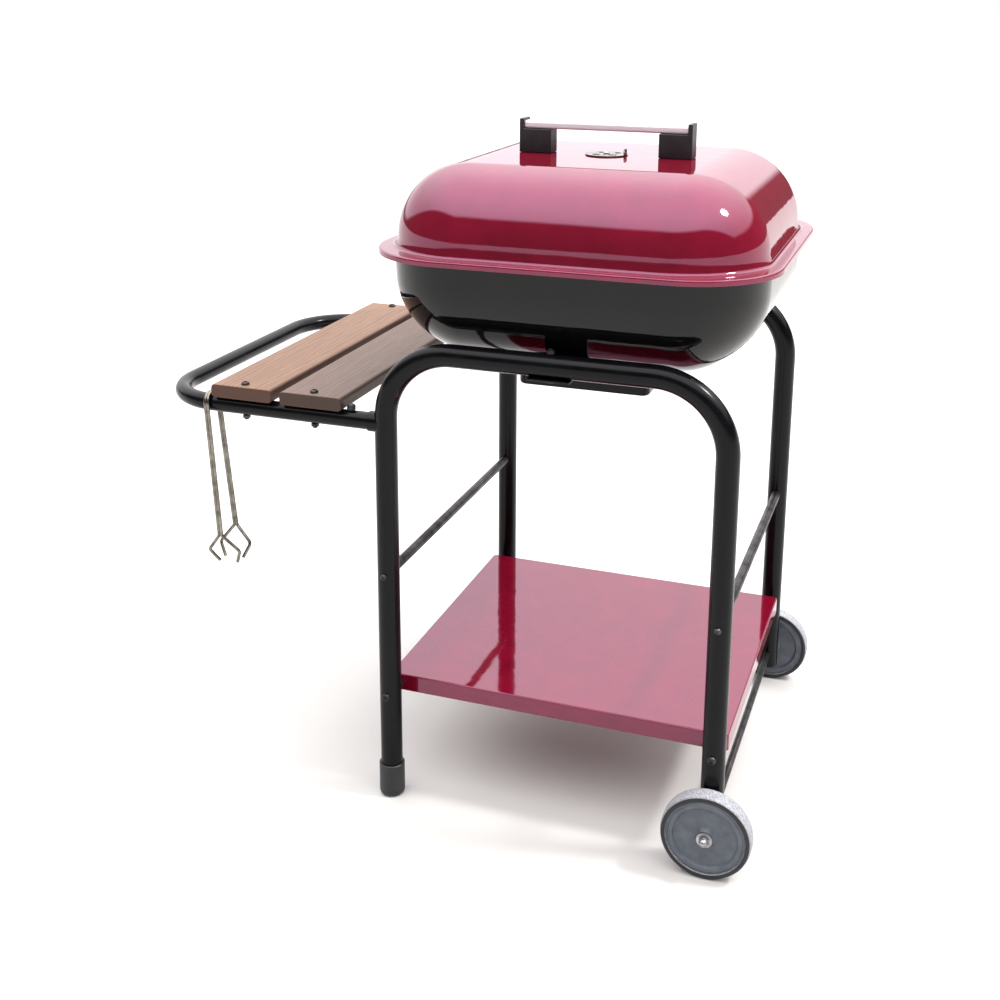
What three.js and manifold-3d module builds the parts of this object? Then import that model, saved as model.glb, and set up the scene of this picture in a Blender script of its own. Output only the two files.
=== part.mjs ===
// Charcoal barbecue on a tubular trolley: an enamelled square kettle with a lift-off lid, carried
// between two bent-tube frames, with a bottom shelf, two wheels and a slatted side table.
//
// Millimetres, +Z up, +X towards the wheels, -Y towards the cook. Pieces are modelled with x = 0,
// y = 0 at the kettle's middle. The whole group is then shifted along X, so that its origin is on
// the floor at the middle of the footprint.

import * as THREE from 'three';
import { ParametricGeometry } from 'three/addons/geometries/ParametricGeometry.js';
import { mergeVertices } from 'three/addons/utils/BufferGeometryUtils.js';
import Module from 'manifold-3d';

// ---- driving dimensions ------------------------------------------------------------------------

const GAP = 0.3; // left between pieces that touch

// two bent-tube frames, front and back
const TUBE_D = 32;
const TUBE_WALL = 1.5;
const LEG_SPAN = 480; // left leg centre to right leg centre
const FRAME_DEPTH = 516; // front frame centre to back frame centre
const BAR_Z = 690; // centre of the top bars
const BEND_R = 100;

// feet, under the left legs
const FOOT_H = 52;
const FOOT_SOLE = 6;
const FOOT_WALL = 2.9;

// axle and wheels
const WHEEL_D = 125;
const WHEEL_W = 27;
const TYRE_H = 8.5; // tread to rim seat
const HUB_D = 24;
const AXLE_D = 12;
const AXLE_PLAY = 0.5;
const WHEEL_SIDE_PLAY = 1.5; // wheel to leg, and wheel to nut
const LEG_BELOW_AXLE = 24;
const AXLE_END_D = 8;
const AXLE_END_L = 8;

// cross bars between the front and back legs
const CROSS_D = 14;
const CROSS_Z = 356;
const CROSS_SCREW_BITE = 18; // length of screw inside the bar

// bottom shelf
const SHELF_Z = 179; // top face
const SHELF_SPACER = 14.5; // leg to shelf flange
const SHELF_FLANGE = 25;
const SHELF_SHEET = 1.5;
const SHELF_CORNER = 6;
const SHELF_BOLT_DROP = 14; // below the top face

// kettle: bowl and lid, both rounded rectangles in plan
const KETTLE_X = 532; // outside of the walls
const KETTLE_OVER_BARS = 2; // kettle depth over frame depth
const KETTLE_CORNER = 129;
const CORNER_TAPER = 1.19; // corner radius lost per millimetre that the wall turns in
const MIN_CORNER = 15;
const SHEET = 1.5;
const RIM_OVER_BAR = 132.7; // top of the lid's flange over the bar centres
const RIM_W = 18.2;
const RIM_LIP = 7.9;
const RIM_SLACK = 1; // lid's lip to bowl's flange
const BOWL_DEPTH = 156;
const BOWL_REACH = 153; // width of the bowl's curve
const BOWL_SWEEP = 118; // height of the bowl's curve
const BOWL_DRAFT = 1.6;
const LID_H = 116.5;
const LID_REACH = 109;
const LID_SWEEP = 104;
const LID_DRAFT = 3.6;

// cradle strap under the bowl
const STRAP_W = 60;
const STRAP_T = 3;
const STRAP_PAST_BAR = 13;
const BOWL_BOLT_PITCH = 120;

// grates
const COOK_DROP = 36; // rim to the underside of the cooking grate
const COOK_SIDE_PLAY = 4;
const COOK_T = 5;
const COOK_SLOTS = 13;
const COAL_LIFT = 50; // bowl's inside bottom to the charcoal grate
const COAL_T = 5;
const COAL_SLOTS = 9;
const GRATE_RIM = 8;
const GRATE_BAR = 5;
const LEDGE_L = 44;
const LEDGE_REACH = 16;
const LEDGE_T = 3;

// bottom vents and ash pan
const VENT_D = 18;
const VENT_X = 64;
const VENT_Y = 38;
const PAN_INSET = 13.9; // edge of the bowl's flat bottom to the pan's side
const PAN_Y = 210;
const PAN_H = 40;
const PAN_DROP = 13; // bowl's underside to the pan's top
const PAN_SHEET = 1.2;
const PAN_CORNER = 12;
const PAN_LIP = 8;
const PAN_PULL_W = 60;
const PAN_PULL_L = 14;
const RAIL_T = 1.5;
const RAIL_FOOT = 8.5;

// lid handle
const HANDLE_L = 257; // over the end plates
const POST_W = 48.5;
const POST_D = 30;
const POST_PLATE = 7;
const POST_H = 34.5; // lid to the bar's underside
const PLATE_OVER_BAR = 3.5;
const HANDLE_BAR_D = 24;
const HANDLE_BAR_T = 11;

// lid damper
const DAMPER_D = 62;
const DAMPER_T = 1.5;
const DAMPER_HOLE_D = 13;
const DAMPER_HOLE_PITCH_R = 18;
const DAMPER_HOLES = 4;
const RIVET_D = 5;

// side table
const TABLE_TUBE_D = 25;
const TABLE_TUBE_WALL = 1.5;
const TABLE_BELOW_BEND = 7; // arm centres under the start of the frame's bends
const TABLE_REACH = 370; // left leg centres to the outer rail's centre
const TABLE_BEND_R = 95;
const COLLAR_D = 29;
const COLLAR_L = 9;
const SPIGOT_L = 42;
const KNOB_FROM_LEG = 53;
const KNOB_D = 13;
const KNOB_H = 9;
const SLAT_W = 98;
const SLAT_T = 20;
const SLAT_GAP = 13;
const SLAT_ROUND = 6;
const SLAT_PAST_ARM = 15; // slat end to arm centre
const SLAT_FROM_LEG = 62; // left leg centres to the inner slat

// tongs hanging on the table's front arm
const WIRE_D = 5;
const HOOK_PLAY = 1;
const TONGS_FROM_SLAT = 7.5;
const TONGS_L = 200; // arm centre to the fork
const TONGS_SPREAD = 44;
const CLAW_L = 46;
const CLAW_W = 52;
const CLAW_BEND = 7;
const TONGS_LEAN = 4.5; // degrees

// fasteners
const M6 = 6;
const M6_HOLE = 6.8;
const HEAD_D = 12;
const HEAD_T = 4;
const NUT_D = 11.5;
const NUT_T = 5;

// facets
const TUBE_SIDES = 12;
const WHEEL_SIDES = 20;
const PIN_SIDES = 6;
const BEND_STEPS = 5;
const CORNER_STEPS = 4;

// ---- sizes that follow from them -----------------------------------------------------------------

const tubeR = TUBE_D / 2;
const legX = LEG_SPAN / 2;
const frameY = FRAME_DEPTH / 2;
const axleZ = WHEEL_D / 2;
const wheelY = frameY + tubeR + WHEEL_SIDE_PLAY + WHEEL_W / 2;
const nutY = wheelY + WHEEL_W / 2 + WHEEL_SIDE_PLAY;

const halfX = KETTLE_X / 2;
const halfY = (FRAME_DEPTH + KETTLE_OVER_BARS) / 2;
const rimZ = BAR_Z + RIM_OVER_BAR;
const bowlTopZ = rimZ - SHEET - GAP;
const bowlZ = bowlTopZ - BOWL_DEPTH;
const lidTopZ = rimZ + LID_H;
const panX = 2 * (halfX - BOWL_DRAFT - BOWL_REACH - PAN_INSET);

const armR = TABLE_TUBE_D / 2;
const armZ = BAR_Z - BEND_R - TABLE_BELOW_BEND;
const collarX = -legX - tubeR - GAP - COLLAR_L;
const railX = -legX - TABLE_REACH;
const slatX = [1, 0].map((i) => -legX - SLAT_FROM_LEG - SLAT_W / 2 - i * (SLAT_W + SLAT_GAP));
const tongsX = slatX[0] - SLAT_W / 2 - TONGS_FROM_SLAT;

const originX = (railX - armR + Math.max(legX + WHEEL_D / 2, halfX + RIM_W)) / 2;

// ---- materials -----------------------------------------------------------------------------------

const paint = (color, roughness, metalness) =>
  new THREE.MeshStandardMaterial({ color, roughness, metalness });

const BLACK_PAINT = paint('#1c1c20', 0.25, 0.1);
const BLACK_ENAMEL = paint('#18181b', 0.1, 0.1);
const RED_ENAMEL = paint('#8e1430', 0.12, 0.1);
const ZINC = paint('#9c9a9c', 0.35, 0.9);
const CHROME = paint('#c9c9c6', 0.15, 1);
const ALUMINIUM = paint('#b4b0b8', 0.4, 0.9);
const BLACK_PLASTIC = paint('#1a1a1c', 0.5, 0);
const GREY_PLASTIC = paint('#5d646e', 0.45, 0);
const RUBBER = paint('#1d1d20', 0.8, 0);
const WOOD = paint('#be9682', 0.6, 0);

// ---- making solids -------------------------------------------------------------------------------

const wasm = await Module();
wasm.setup();

// A closed solid from a three.js geometry, facing out whichever way its outline was drawn.
function solid(geometry) {
  geometry.deleteAttribute('normal');
  geometry.deleteAttribute('uv');
  const merged = mergeVertices(geometry, 1e-4);
  const triangles = [];
  for (let i = 0; i < merged.index.count; i += 3) {
    const [a, b, c] = merged.index.array.slice(i, i + 3);
    if (a !== b && b !== c && c !== a) {
      triangles.push([a, b, c]);
    }
  }
  const build = (list) => new wasm.Manifold(new wasm.Mesh({
    numProp: 3,
    vertProperties: new Float32Array(merged.attributes.position.array),
    triVerts: new Uint32Array(list.flat()),
  }));
  const body = build(triangles);
  return body.volume() > 0 ? body : build(triangles.map(([a, b, c]) => [a, c, b]));
}

function geometryOf(body) {
  const mesh = body.getMesh();
  const geometry = new THREE.BufferGeometry();
  geometry.setAttribute('position', new THREE.BufferAttribute(mesh.vertProperties, 3));
  geometry.setIndex(new THREE.BufferAttribute(mesh.triVerts, 1));
  geometry.computeVertexNormals();
  return geometry;
}

const join = (...bodies) => bodies.reduce((whole, body) => whole.add(body));
const cut = (body, ...tools) => tools.reduce((rest, tool) => rest.subtract(tool), body);

// A faceted radius whose flats, not its corners, are `radius` from the axis.
const clearing = (radius, sides) => radius / Math.cos(Math.PI / sides);

// A round bar between two points.
function rod(radius, from, to, sides = PIN_SIDES) {
  const start = new THREE.Vector3(...from);
  const end = new THREE.Vector3(...to);
  const axis = end.clone().sub(start);
  const geometry = new THREE.CylinderGeometry(radius, radius, axis.length(), sides);
  const turn = new THREE.Quaternion();
  turn.setFromUnitVectors(new THREE.Vector3(0, 1, 0), axis.clone().normalize());
  geometry.applyQuaternion(turn);
  geometry.translate(...start.add(end).multiplyScalar(0.5));
  return solid(geometry);
}

// The tool for a round hole, clear of anything of that radius.
const drill = (radius, from, to, sides = PIN_SIDES) =>
  rod(clearing(radius, sides), from, to, sides);

const box = (size, centre) =>
  solid(new THREE.BoxGeometry(...size).translate(...centre));

// A profile of [radius, height] pairs turned about +Z.
function turned(profile, sides = PIN_SIDES, close = false) {
  const points = profile.map(([r, z]) => new THREE.Vector2(r, z));
  if (close) {
    points.push(points[0].clone());
  }
  return solid(new THREE.LatheGeometry(points, sides).rotateX(Math.PI / 2));
}

// Axes that a flat shape's x, y and its extrusion are laid along.
const PLANES = {
  xy: [[1, 0, 0], [0, 1, 0], [0, 0, 1]],
  xz: [[1, 0, 0], [0, 0, 1], [0, -1, 0]],
  yz: [[0, 1, 0], [0, 0, 1], [1, 0, 0]],
};

// A shape extruded by `depth` about the middle of its plane.
function prism(shape, depth, plane = 'xy', offset = [0, 0, 0]) {
  const geometry = new THREE.ExtrudeGeometry(shape, { depth, bevelEnabled: false, steps: 1 });
  geometry.translate(0, 0, -depth / 2);
  const axes = PLANES[plane].map((axis) => new THREE.Vector3(...axis));
  geometry.applyMatrix4(new THREE.Matrix4().makeBasis(...axes));
  geometry.translate(...offset);
  return solid(geometry);
}

const polygon = (points) => new THREE.Shape(points.map(([x, y]) => new THREE.Vector2(x, y)));

// Corner points of a rounded rectangle, anticlockwise from +X.
function roundedOutline(hx, hy, radius, steps = CORNER_STEPS) {
  const r = Math.min(radius, hx, hy);
  const points = [];
  [[1, 1], [-1, 1], [-1, -1], [1, -1]].forEach(([sx, sy], quarter) => {
    for (let i = 0; i <= steps; i += 1) {
      const angle = (quarter + i / steps) * Math.PI / 2;
      points.push([
        sx * (hx - r) + r * Math.cos(angle),
        sy * (hy - r) + r * Math.sin(angle),
      ]);
    }
  });
  return points;
}

// A run of tube through corner points, with a step only where it bends.
class TubeRun extends THREE.Curve {
  constructor(corners, radii, steps) {
    super();
    const points = corners.map((corner) => new THREE.Vector3(...corner));
    const last = points.length - 1;
    const heading = (i) => points[i + 1].clone().sub(points[i]).normalize();
    this.stations = [{ at: points[0], along: heading(0) }];
    for (let i = 1; i < last; i += 1) {
      this.addBend(points[i], heading(i - 1), heading(i), radii[i - 1], steps[i - 1]);
    }
    this.stations.push({ at: points[last], along: heading(last - 1) });
  }

  addBend(corner, before, after, radius, steps) {
    const angle = before.angleTo(after);
    const reach = radius * Math.tan(angle / 2);
    const start = corner.clone().addScaledVector(before, -reach);
    const inward = after.clone().addScaledVector(before, -after.dot(before)).normalize();
    for (let i = 0; i <= steps; i += 1) {
      const turn = angle * i / steps;
      const at = start.clone()
        .addScaledVector(before, radius * Math.sin(turn))
        .addScaledVector(inward, radius * (1 - Math.cos(turn)));
      const along = before.clone().multiplyScalar(Math.cos(turn))
        .addScaledVector(inward, Math.sin(turn));
      this.stations.push({ at, along });
    }
  }

  get steps() {
    return this.stations.length - 1;
  }

  getPointAt(u, target = new THREE.Vector3()) {
    return target.copy(this.stations[Math.round(u * this.steps)].at);
  }

  getTangentAt(u, target = new THREE.Vector3()) {
    return target.copy(this.stations[Math.round(u * this.steps)].along);
  }
}

function circlePoints(radius, sides) {
  return Array.from({ length: sides }, (_, i) => {
    const angle = i * 2 * Math.PI / sides;
    return new THREE.Vector2(radius * Math.cos(angle), radius * Math.sin(angle));
  });
}

// A bent tube, or a bent bar when it has no wall.
function bentTube(run, radius, wall, sides = TUBE_SIDES) {
  const section = new THREE.Shape(circlePoints(radius, sides));
  if (wall) {
    section.holes.push(new THREE.Path(circlePoints(clearing(radius - wall, sides), sides)));
  }
  return solid(new THREE.ExtrudeGeometry(section, { steps: run.steps, extrudePath: run }));
}

// ---- the model's tree ----------------------------------------------------------------------------

const group = new THREE.Group();
group.position.x = -originX;

function addMesh(name, body, material, parent = group) {
  const mesh = new THREE.Mesh(geometryOf(body), material);
  mesh.name = name;
  parent.add(mesh);
  return mesh;
}

const SIDES = [['front', -1], ['back', 1]];
const HANDS = [['left', -1], ['right', 1]];

// ---- frames --------------------------------------------------------------------------------------

const m6R = M6 / 2;
const m6Hole = M6_HOLE / 2;
const shelfBoltZ = SHELF_Z - SHELF_BOLT_DROP;
const footZ = FOOT_SOLE + GAP;

for (const [side, sy] of SIDES) {
  const y = sy * frameY;
  const run = new TubeRun(
    [[-legX, y, footZ], [-legX, y, BAR_Z], [legX, y, BAR_Z], [legX, y, axleZ - LEG_BELOW_AXLE]],
    [BEND_R, BEND_R],
    [BEND_STEPS, BEND_STEPS],
  );
  const across = (radius, x, z) => drill(radius, [x, y - TUBE_D, z], [x, y + TUBE_D, z]);
  const frame = cut(
    bentTube(run, tubeR, TUBE_WALL),
    across(AXLE_D / 2 + GAP, legX, axleZ),
    ...[-legX, legX].flatMap((x) => [across(m6Hole, x, CROSS_Z), across(m6Hole, x, shelfBoltZ)]),
    drill(m6Hole, [0, y, BAR_Z - TUBE_D], [0, y, BAR_Z + TUBE_D]),
  );
  addMesh(`frame_${side}`, frame, BLACK_PAINT);

  // moulded foot pushed over the left leg
  const legSocket = clearing(tubeR + GAP, TUBE_SIDES);
  const footR = tubeR + FOOT_WALL;
  const foot = turned([
    [0, 0], [footR - 4, 0], [footR - 1, 2.5], [footR, 7], [footR, FOOT_H - 1.5],
    [footR - 0.8, FOOT_H], [legSocket, FOOT_H], [legSocket, FOOT_SOLE], [0, FOOT_SOLE],
  ], TUBE_SIDES);
  addMesh(`foot_${side}`, foot, BLACK_PLASTIC).position.set(-legX, y, 0);
}

// ---- axle and wheels -----------------------------------------------------------------------------

const axleShoulder = nutY - GAP;
const axleTip = nutY + AXLE_END_L;
const axle = turned([
  [0, -axleTip], [AXLE_END_D / 2, -axleTip], [AXLE_END_D / 2, -axleShoulder],
  [AXLE_D / 2, -axleShoulder], [AXLE_D / 2, axleShoulder], [AXLE_END_D / 2, axleShoulder],
  [AXLE_END_D / 2, axleTip], [0, axleTip],
], PIN_SIDES);
const axleMesh = addMesh('axle', axle, ZINC);
axleMesh.position.set(legX, 0, axleZ);
axleMesh.rotation.x = Math.PI / 2;

const seatR = WHEEL_D / 2 - TYRE_H;
const halfW = WHEEL_W / 2;
const hubBore = clearing(AXLE_D / 2 + AXLE_PLAY, WHEEL_SIDES);
const discHalf = [
  [hubBore, halfW], [HUB_D / 2, halfW], [HUB_D / 2 + 2, halfW - 4], [seatR - 8, halfW - 5.5],
  [seatR - 4, halfW - 1], [seatR - 1, halfW - 1], [seatR - GAP, halfW - 2.5],
];
const mirrored = (half) => [...half, ...half.map(([r, z]) => [r, -z]).reverse()];
const tyreHalf = [
  [seatR, halfW - 2.5], [seatR + 2, halfW], [WHEEL_D / 2 - 3, halfW], [WHEEL_D / 2, halfW - 3],
];
// domed nut with its washer, its bore stopping short of the dome
const boreR = clearing(AXLE_END_D / 2 + GAP, TUBE_SIDES);
const capNut = [
  [0, AXLE_END_L + 1], [boreR, AXLE_END_L + 1], [boreR, 0], [11, 0], [11, 1.6], [7.5, 1.6],
  [7.5, 6.5], [6.3, 9.5], [3.6, 11.6], [0, 12.4],
];

for (const [side, sy] of SIDES) {
  const wheel = new THREE.Group();
  wheel.position.set(legX, sy * wheelY, axleZ);
  wheel.rotation.x = -sy * Math.PI / 2;
  group.add(wheel);
  addMesh(`wheel_disc_${side}`, turned(mirrored(discHalf), WHEEL_SIDES, true), GREY_PLASTIC, wheel);
  addMesh(`tyre_${side}`, turned(mirrored(tyreHalf), WHEEL_SIDES, true), RUBBER, wheel);
  const nut = addMesh(`axle_nut_${side}`, turned(capNut, TUBE_SIDES), ZINC, wheel);
  nut.position.z = nutY - wheelY;
}

// ---- cross bars ----------------------------------------------------------------------------------

// Pan-head screw along +Z, its head's underside at 0.
const screw = (length) => turned([
  [0, -length], [m6R, -length], [m6R, 0], [HEAD_D / 2, 0], [HEAD_D / 2, HEAD_T * 0.5],
  [HEAD_D / 4, HEAD_T], [0, HEAD_T],
]);

// The same with its nut on: `grip` is what the head and the nut hold together.
const bolt = (grip, headD = HEAD_D, tail = 2) => turned([
  [0, -grip - NUT_T - tail], [m6R, -grip - NUT_T - tail], [m6R, -grip - NUT_T],
  [NUT_D / 2, -grip - NUT_T], [NUT_D / 2, -grip], [m6R, -grip], [m6R, 0], [headD / 2, 0],
  [headD / 2, HEAD_T * 0.5], [headD / 4, HEAD_T], [0, HEAD_T],
]);

// Lays a mesh made along +Z along the outward Y direction of its side.
function layOutward(mesh, sy, x, y, z) {
  mesh.position.set(x, y, z);
  mesh.rotation.x = -sy * Math.PI / 2;
}

const barEnd = frameY - tubeR;
const biteEnd = barEnd - CROSS_SCREW_BITE;
for (const [hand, sx] of HANDS) {
  const x = sx * legX;
  const ends = [-1, 1].flatMap((sy) => [
    drill(
      tubeR + GAP, [x, sy * frameY, CROSS_Z - TUBE_D], [x, sy * frameY, CROSS_Z + TUBE_D],
      TUBE_SIDES,
    ),
    drill(m6Hole, [x, sy * (biteEnd - 1), CROSS_Z], [x, sy * frameY, CROSS_Z]),
  ]);
  const whole = rod(CROSS_D / 2, [x, -frameY, CROSS_Z], [x, frameY, CROSS_Z], TUBE_SIDES);
  addMesh(`cross_bar_${hand}`, cut(whole, ...ends), ZINC);
  for (const [side, sy] of SIDES) {
    const head = frameY + tubeR + GAP;
    const mesh = addMesh(`cross_screw_${side}_${hand}`, screw(head - biteEnd), ZINC);
    layOutward(mesh, sy, x, sy * head, CROSS_Z);
  }
}

// ---- bottom shelf --------------------------------------------------------------------------------

const shelfX = legX + tubeR - 2;
const shelfY = frameY - tubeR - SHELF_SPACER;
const shelfRim = roundedOutline(shelfX, shelfY, SHELF_CORNER, 2);
const shelfHollow = roundedOutline(
  shelfX - SHELF_SHEET, shelfY - SHELF_SHEET, SHELF_CORNER - SHELF_SHEET, 2,
);
const shelfMiddle = SHELF_Z - SHELF_FLANGE / 2;
const shelf = cut(
  prism(polygon(shelfRim), SHELF_FLANGE, 'xy', [0, 0, shelfMiddle]),
  prism(polygon(shelfHollow), SHELF_FLANGE, 'xy', [0, 0, shelfMiddle - SHELF_SHEET]),
  ...[-legX, legX].map((x) =>
    drill(m6Hole, [x, -shelfY - 1, shelfBoltZ], [x, shelfY + 1, shelfBoltZ])),
);
addMesh('shelf', shelf, RED_ENAMEL);

const spacerHole = clearing(m6Hole, PIN_SIDES);
const spacerL = SHELF_SPACER - 2 * GAP;
const spacer = [[spacerHole, 0], [7, 0], [7, spacerL], [spacerHole, spacerL]];
const shelfGrip = frameY + tubeR + GAP - (shelfY - SHELF_SHEET - GAP);
for (const [side, sy] of SIDES) {
  for (const [hand, sx] of HANDS) {
    const x = sx * legX;
    const sleeve = turned(spacer, PIN_SIDES, true);
    const washer = addMesh(`shelf_spacer_${side}_${hand}`, sleeve, BLACK_PLASTIC);
    layOutward(washer, sy, x, sy * (shelfY + GAP), shelfBoltZ);
    const fixing = addMesh(`shelf_bolt_${side}_${hand}`, bolt(shelfGrip), ZINC);
    layOutward(fixing, sy, x, sy * (frameY + tubeR + GAP), shelfBoltZ);
  }
}

// ---- kettle --------------------------------------------------------------------------------------

const cornerAt = (inset) =>
  Math.min(KETTLE_CORNER, Math.max(KETTLE_CORNER - CORNER_TAPER * inset, MIN_CORNER));

// A pressed shell: each profile point is [inset from the wall, height], and a null inset is the
// middle of the shell.
function pressed(profile) {
  const ring = 4 * (CORNER_STEPS + 1);
  const rows = profile.length - 1;
  return solid(new ParametricGeometry((u, v, target) => {
    const [inset, z] = profile[Math.round(v * rows)];
    if (inset === null) {
      target.set(0, 0, z);
    } else {
      const outline = roundedOutline(halfX - inset, halfY - inset, cornerAt(inset));
      const [x, y] = outline[Math.round(u * ring) % ring];
      target.set(x, y, z);
    }
  }, ring, rows));
}

// The curve of a pressing from its wall to its flat middle. `up` is 1 for the lid and -1 for the
// bowl, and `skin` moves the curve in along its normal.
function pressingCurve(flatZ, up, reach, sweep, draft, skin) {
  return Array.from({ length: 8 }, (_, i) => {
    const angle = i / 7 * Math.PI / 2;
    const normal = new THREE.Vector2(Math.cos(angle) / reach, Math.sin(angle) / sweep).normalize();
    return [
      draft + reach * (1 - Math.cos(angle)) + skin * normal.x,
      flatZ - up * (sweep * (1 - Math.sin(angle)) + skin * normal.y),
    ];
  });
}

// Where a curve stands at a height, as the distance in from the wall.
function insetAt(curve, z) {
  const i = curve.findIndex(([, high], k) => k < curve.length - 1
    && (high - z) * (curve[k + 1][1] - z) <= 0);
  const [[inset0, z0], [inset1, z1]] = [curve[i], curve[i + 1]];
  return inset0 + (inset1 - inset0) * (z - z0) / (z1 - z0);
}

const bowlOuter = pressingCurve(bowlZ, -1, BOWL_REACH, BOWL_SWEEP, BOWL_DRAFT, 0);
const bowlInner = pressingCurve(bowlZ, -1, BOWL_REACH, BOWL_SWEEP, BOWL_DRAFT, SHEET);
const bowlRim = -(RIM_W - SHEET - RIM_SLACK);
const bowlShell = pressed([
  [null, bowlZ], ...bowlOuter.toReversed(), [0, bowlTopZ - SHEET], [bowlRim, bowlTopZ - SHEET],
  [bowlRim, bowlTopZ], [SHEET, bowlTopZ], ...bowlInner, [null, bowlZ + SHEET],
]);

// ledges welded inside for the cooking grate
const cookZ = rimZ - COOK_DROP;
const ledgeZ = cookZ - GAP - LEDGE_T / 2;
const wallInset = insetAt([[SHEET, bowlTopZ], ...bowlInner], ledgeZ);
const ledgeAt = (half) => half - wallInset + SHEET / 2 - LEDGE_REACH / 2;
const ledges = [-1, 1].flatMap((s) => [
  box([LEDGE_REACH, LEDGE_L, LEDGE_T], [s * ledgeAt(halfX), 0, ledgeZ]),
  box([LEDGE_L, LEDGE_REACH, LEDGE_T], [0, s * ledgeAt(halfY), ledgeZ]),
]);
const upright = (radius, x, y, z) => drill(radius, [x, y, z - 12], [x, y, z + 12]);
const bowl = cut(
  join(bowlShell, ...ledges),
  ...[-1, 1].map((s) => upright(m6Hole, 0, s * BOWL_BOLT_PITCH / 2, bowlZ)),
  ...[-1, 1].flatMap((sx) => [-1, 1].map((sy) =>
    upright(VENT_D / 2, sx * VENT_X, sy * VENT_Y, bowlZ))),
);
addMesh('bowl', bowl, BLACK_ENAMEL);

// ---- cradle strap that carries the bowl between the bars ------------------------------------------

const strapEndTop = BAR_Z - tubeR - GAP;
const strapMidTop = bowlZ - GAP;
const strapEnd = frameY + STRAP_PAST_BAR;
const kneeOut = halfY - insetAt(bowlOuter, bowlZ + BOWL_SWEEP * 0.24);
const kneeIn = halfY - insetAt(bowlOuter, bowlZ + BOWL_SWEEP * 0.02);
const strapTop = [
  [-strapEnd, strapEndTop], [-kneeOut, strapEndTop], [-kneeIn, strapMidTop],
  [kneeIn, strapMidTop], [kneeOut, strapEndTop], [strapEnd, strapEndTop],
];
const strapSide = [...strapTop, ...strapTop.map(([y, z]) => [y, z - STRAP_T]).reverse()];
const strap = cut(
  prism(polygon(strapSide), STRAP_W, 'yz'),
  ...[-1, 1].flatMap((s) => [
    upright(m6Hole, 0, s * frameY, strapEndTop),
    upright(m6Hole, 0, s * BOWL_BOLT_PITCH / 2, strapMidTop),
  ]),
);
addMesh('cradle_strap', strap, BLACK_PAINT);

for (const [side, sy] of SIDES) {
  const barBolt = addMesh(`bar_bolt_${side}`, bolt(STRAP_T + TUBE_D + 3 * GAP), ZINC);
  barBolt.rotation.x = Math.PI;
  barBolt.position.set(0, sy * frameY, strapEndTop - STRAP_T - GAP);
  const bowlBolt = addMesh(`bowl_bolt_${side}`, bolt(SHEET + STRAP_T + 3 * GAP), ZINC);
  bowlBolt.position.set(0, sy * BOWL_BOLT_PITCH / 2, bowlZ + SHEET + GAP);
}

// ---- grates --------------------------------------------------------------------------------------

// A flat grate: a rounded plate of which bars and a rim are left between slots along Y.
function grate(hx, hy, corner, z, thickness, slots) {
  const [ix, iy] = [hx - GRATE_RIM, hy - GRATE_RIM];
  const ir = Math.max(Math.min(corner, hx, hy) - GRATE_RIM, 0);
  const pitch = (2 * ix + GRATE_BAR) / slots;
  const middle = z + thickness / 2;
  const openings = [];
  for (let i = 0; i < slots; i += 1) {
    const x = -ix + i * pitch + (pitch - GRATE_BAR) / 2;
    const past = Math.abs(x) + (pitch - GRATE_BAR) / 2 - (ix - ir);
    const y = iy - (past > 0 ? ir - Math.sqrt(Math.max(ir * ir - past * past, 0)) : 0);
    const length = Math.max(y, GRATE_BAR * 2) - GRATE_BAR / 2;
    for (const s of [-1, 1]) {
      const centre = [x, s * (GRATE_BAR + length) / 2, middle];
      openings.push(box([pitch - GRATE_BAR, length, thickness * 2], centre));
    }
  }
  const plate = prism(polygon(roundedOutline(hx, hy, corner)), thickness, 'xy', [0, 0, middle]);
  return cut(plate, ...openings);
}

const cookInset = wallInset + COOK_SIDE_PLAY;
addMesh('cooking_grate', grate(
  halfX - cookInset, halfY - cookInset, cornerAt(cookInset), cookZ, COOK_T, COOK_SLOTS,
), CHROME);

// the charcoal grate sits on the bowl's curve
const coalZ = bowlZ + SHEET + COAL_LIFT;
const coalInset = insetAt(bowlInner, coalZ) + GAP;
addMesh('charcoal_grate', grate(
  halfX - coalInset, halfY - coalInset, cornerAt(coalInset), coalZ, COAL_T, COAL_SLOTS,
), ZINC);

// ---- ash pan and its rails -----------------------------------------------------------------------

const panTop = bowlZ - PAN_DROP;
const panLipZ = panTop - PAN_SHEET / 2;
const panBlank = prism(polygon(roundedOutline(panX / 2, PAN_Y / 2, PAN_CORNER, 2)), PAN_H, 'xy', [
  0, 0, panTop - PAN_H / 2,
]);
const panHollow = prism(polygon(roundedOutline(
  panX / 2 - PAN_SHEET, PAN_Y / 2 - PAN_SHEET, PAN_CORNER - PAN_SHEET, 2,
)), PAN_H, 'xy', [0, 0, panTop - PAN_H / 2 + PAN_SHEET]);
const ashPan = cut(join(
  panBlank,
  box([panX + 2 * PAN_LIP, PAN_Y - 2 * PAN_CORNER, PAN_SHEET], [0, 0, panLipZ]),
  box([PAN_PULL_W, PAN_PULL_L + 4, PAN_SHEET], [0, -PAN_Y / 2 - PAN_PULL_L / 2 + 2, panLipZ]),
), panHollow);
addMesh('ash_pan', ashPan, BLACK_PAINT);

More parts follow.
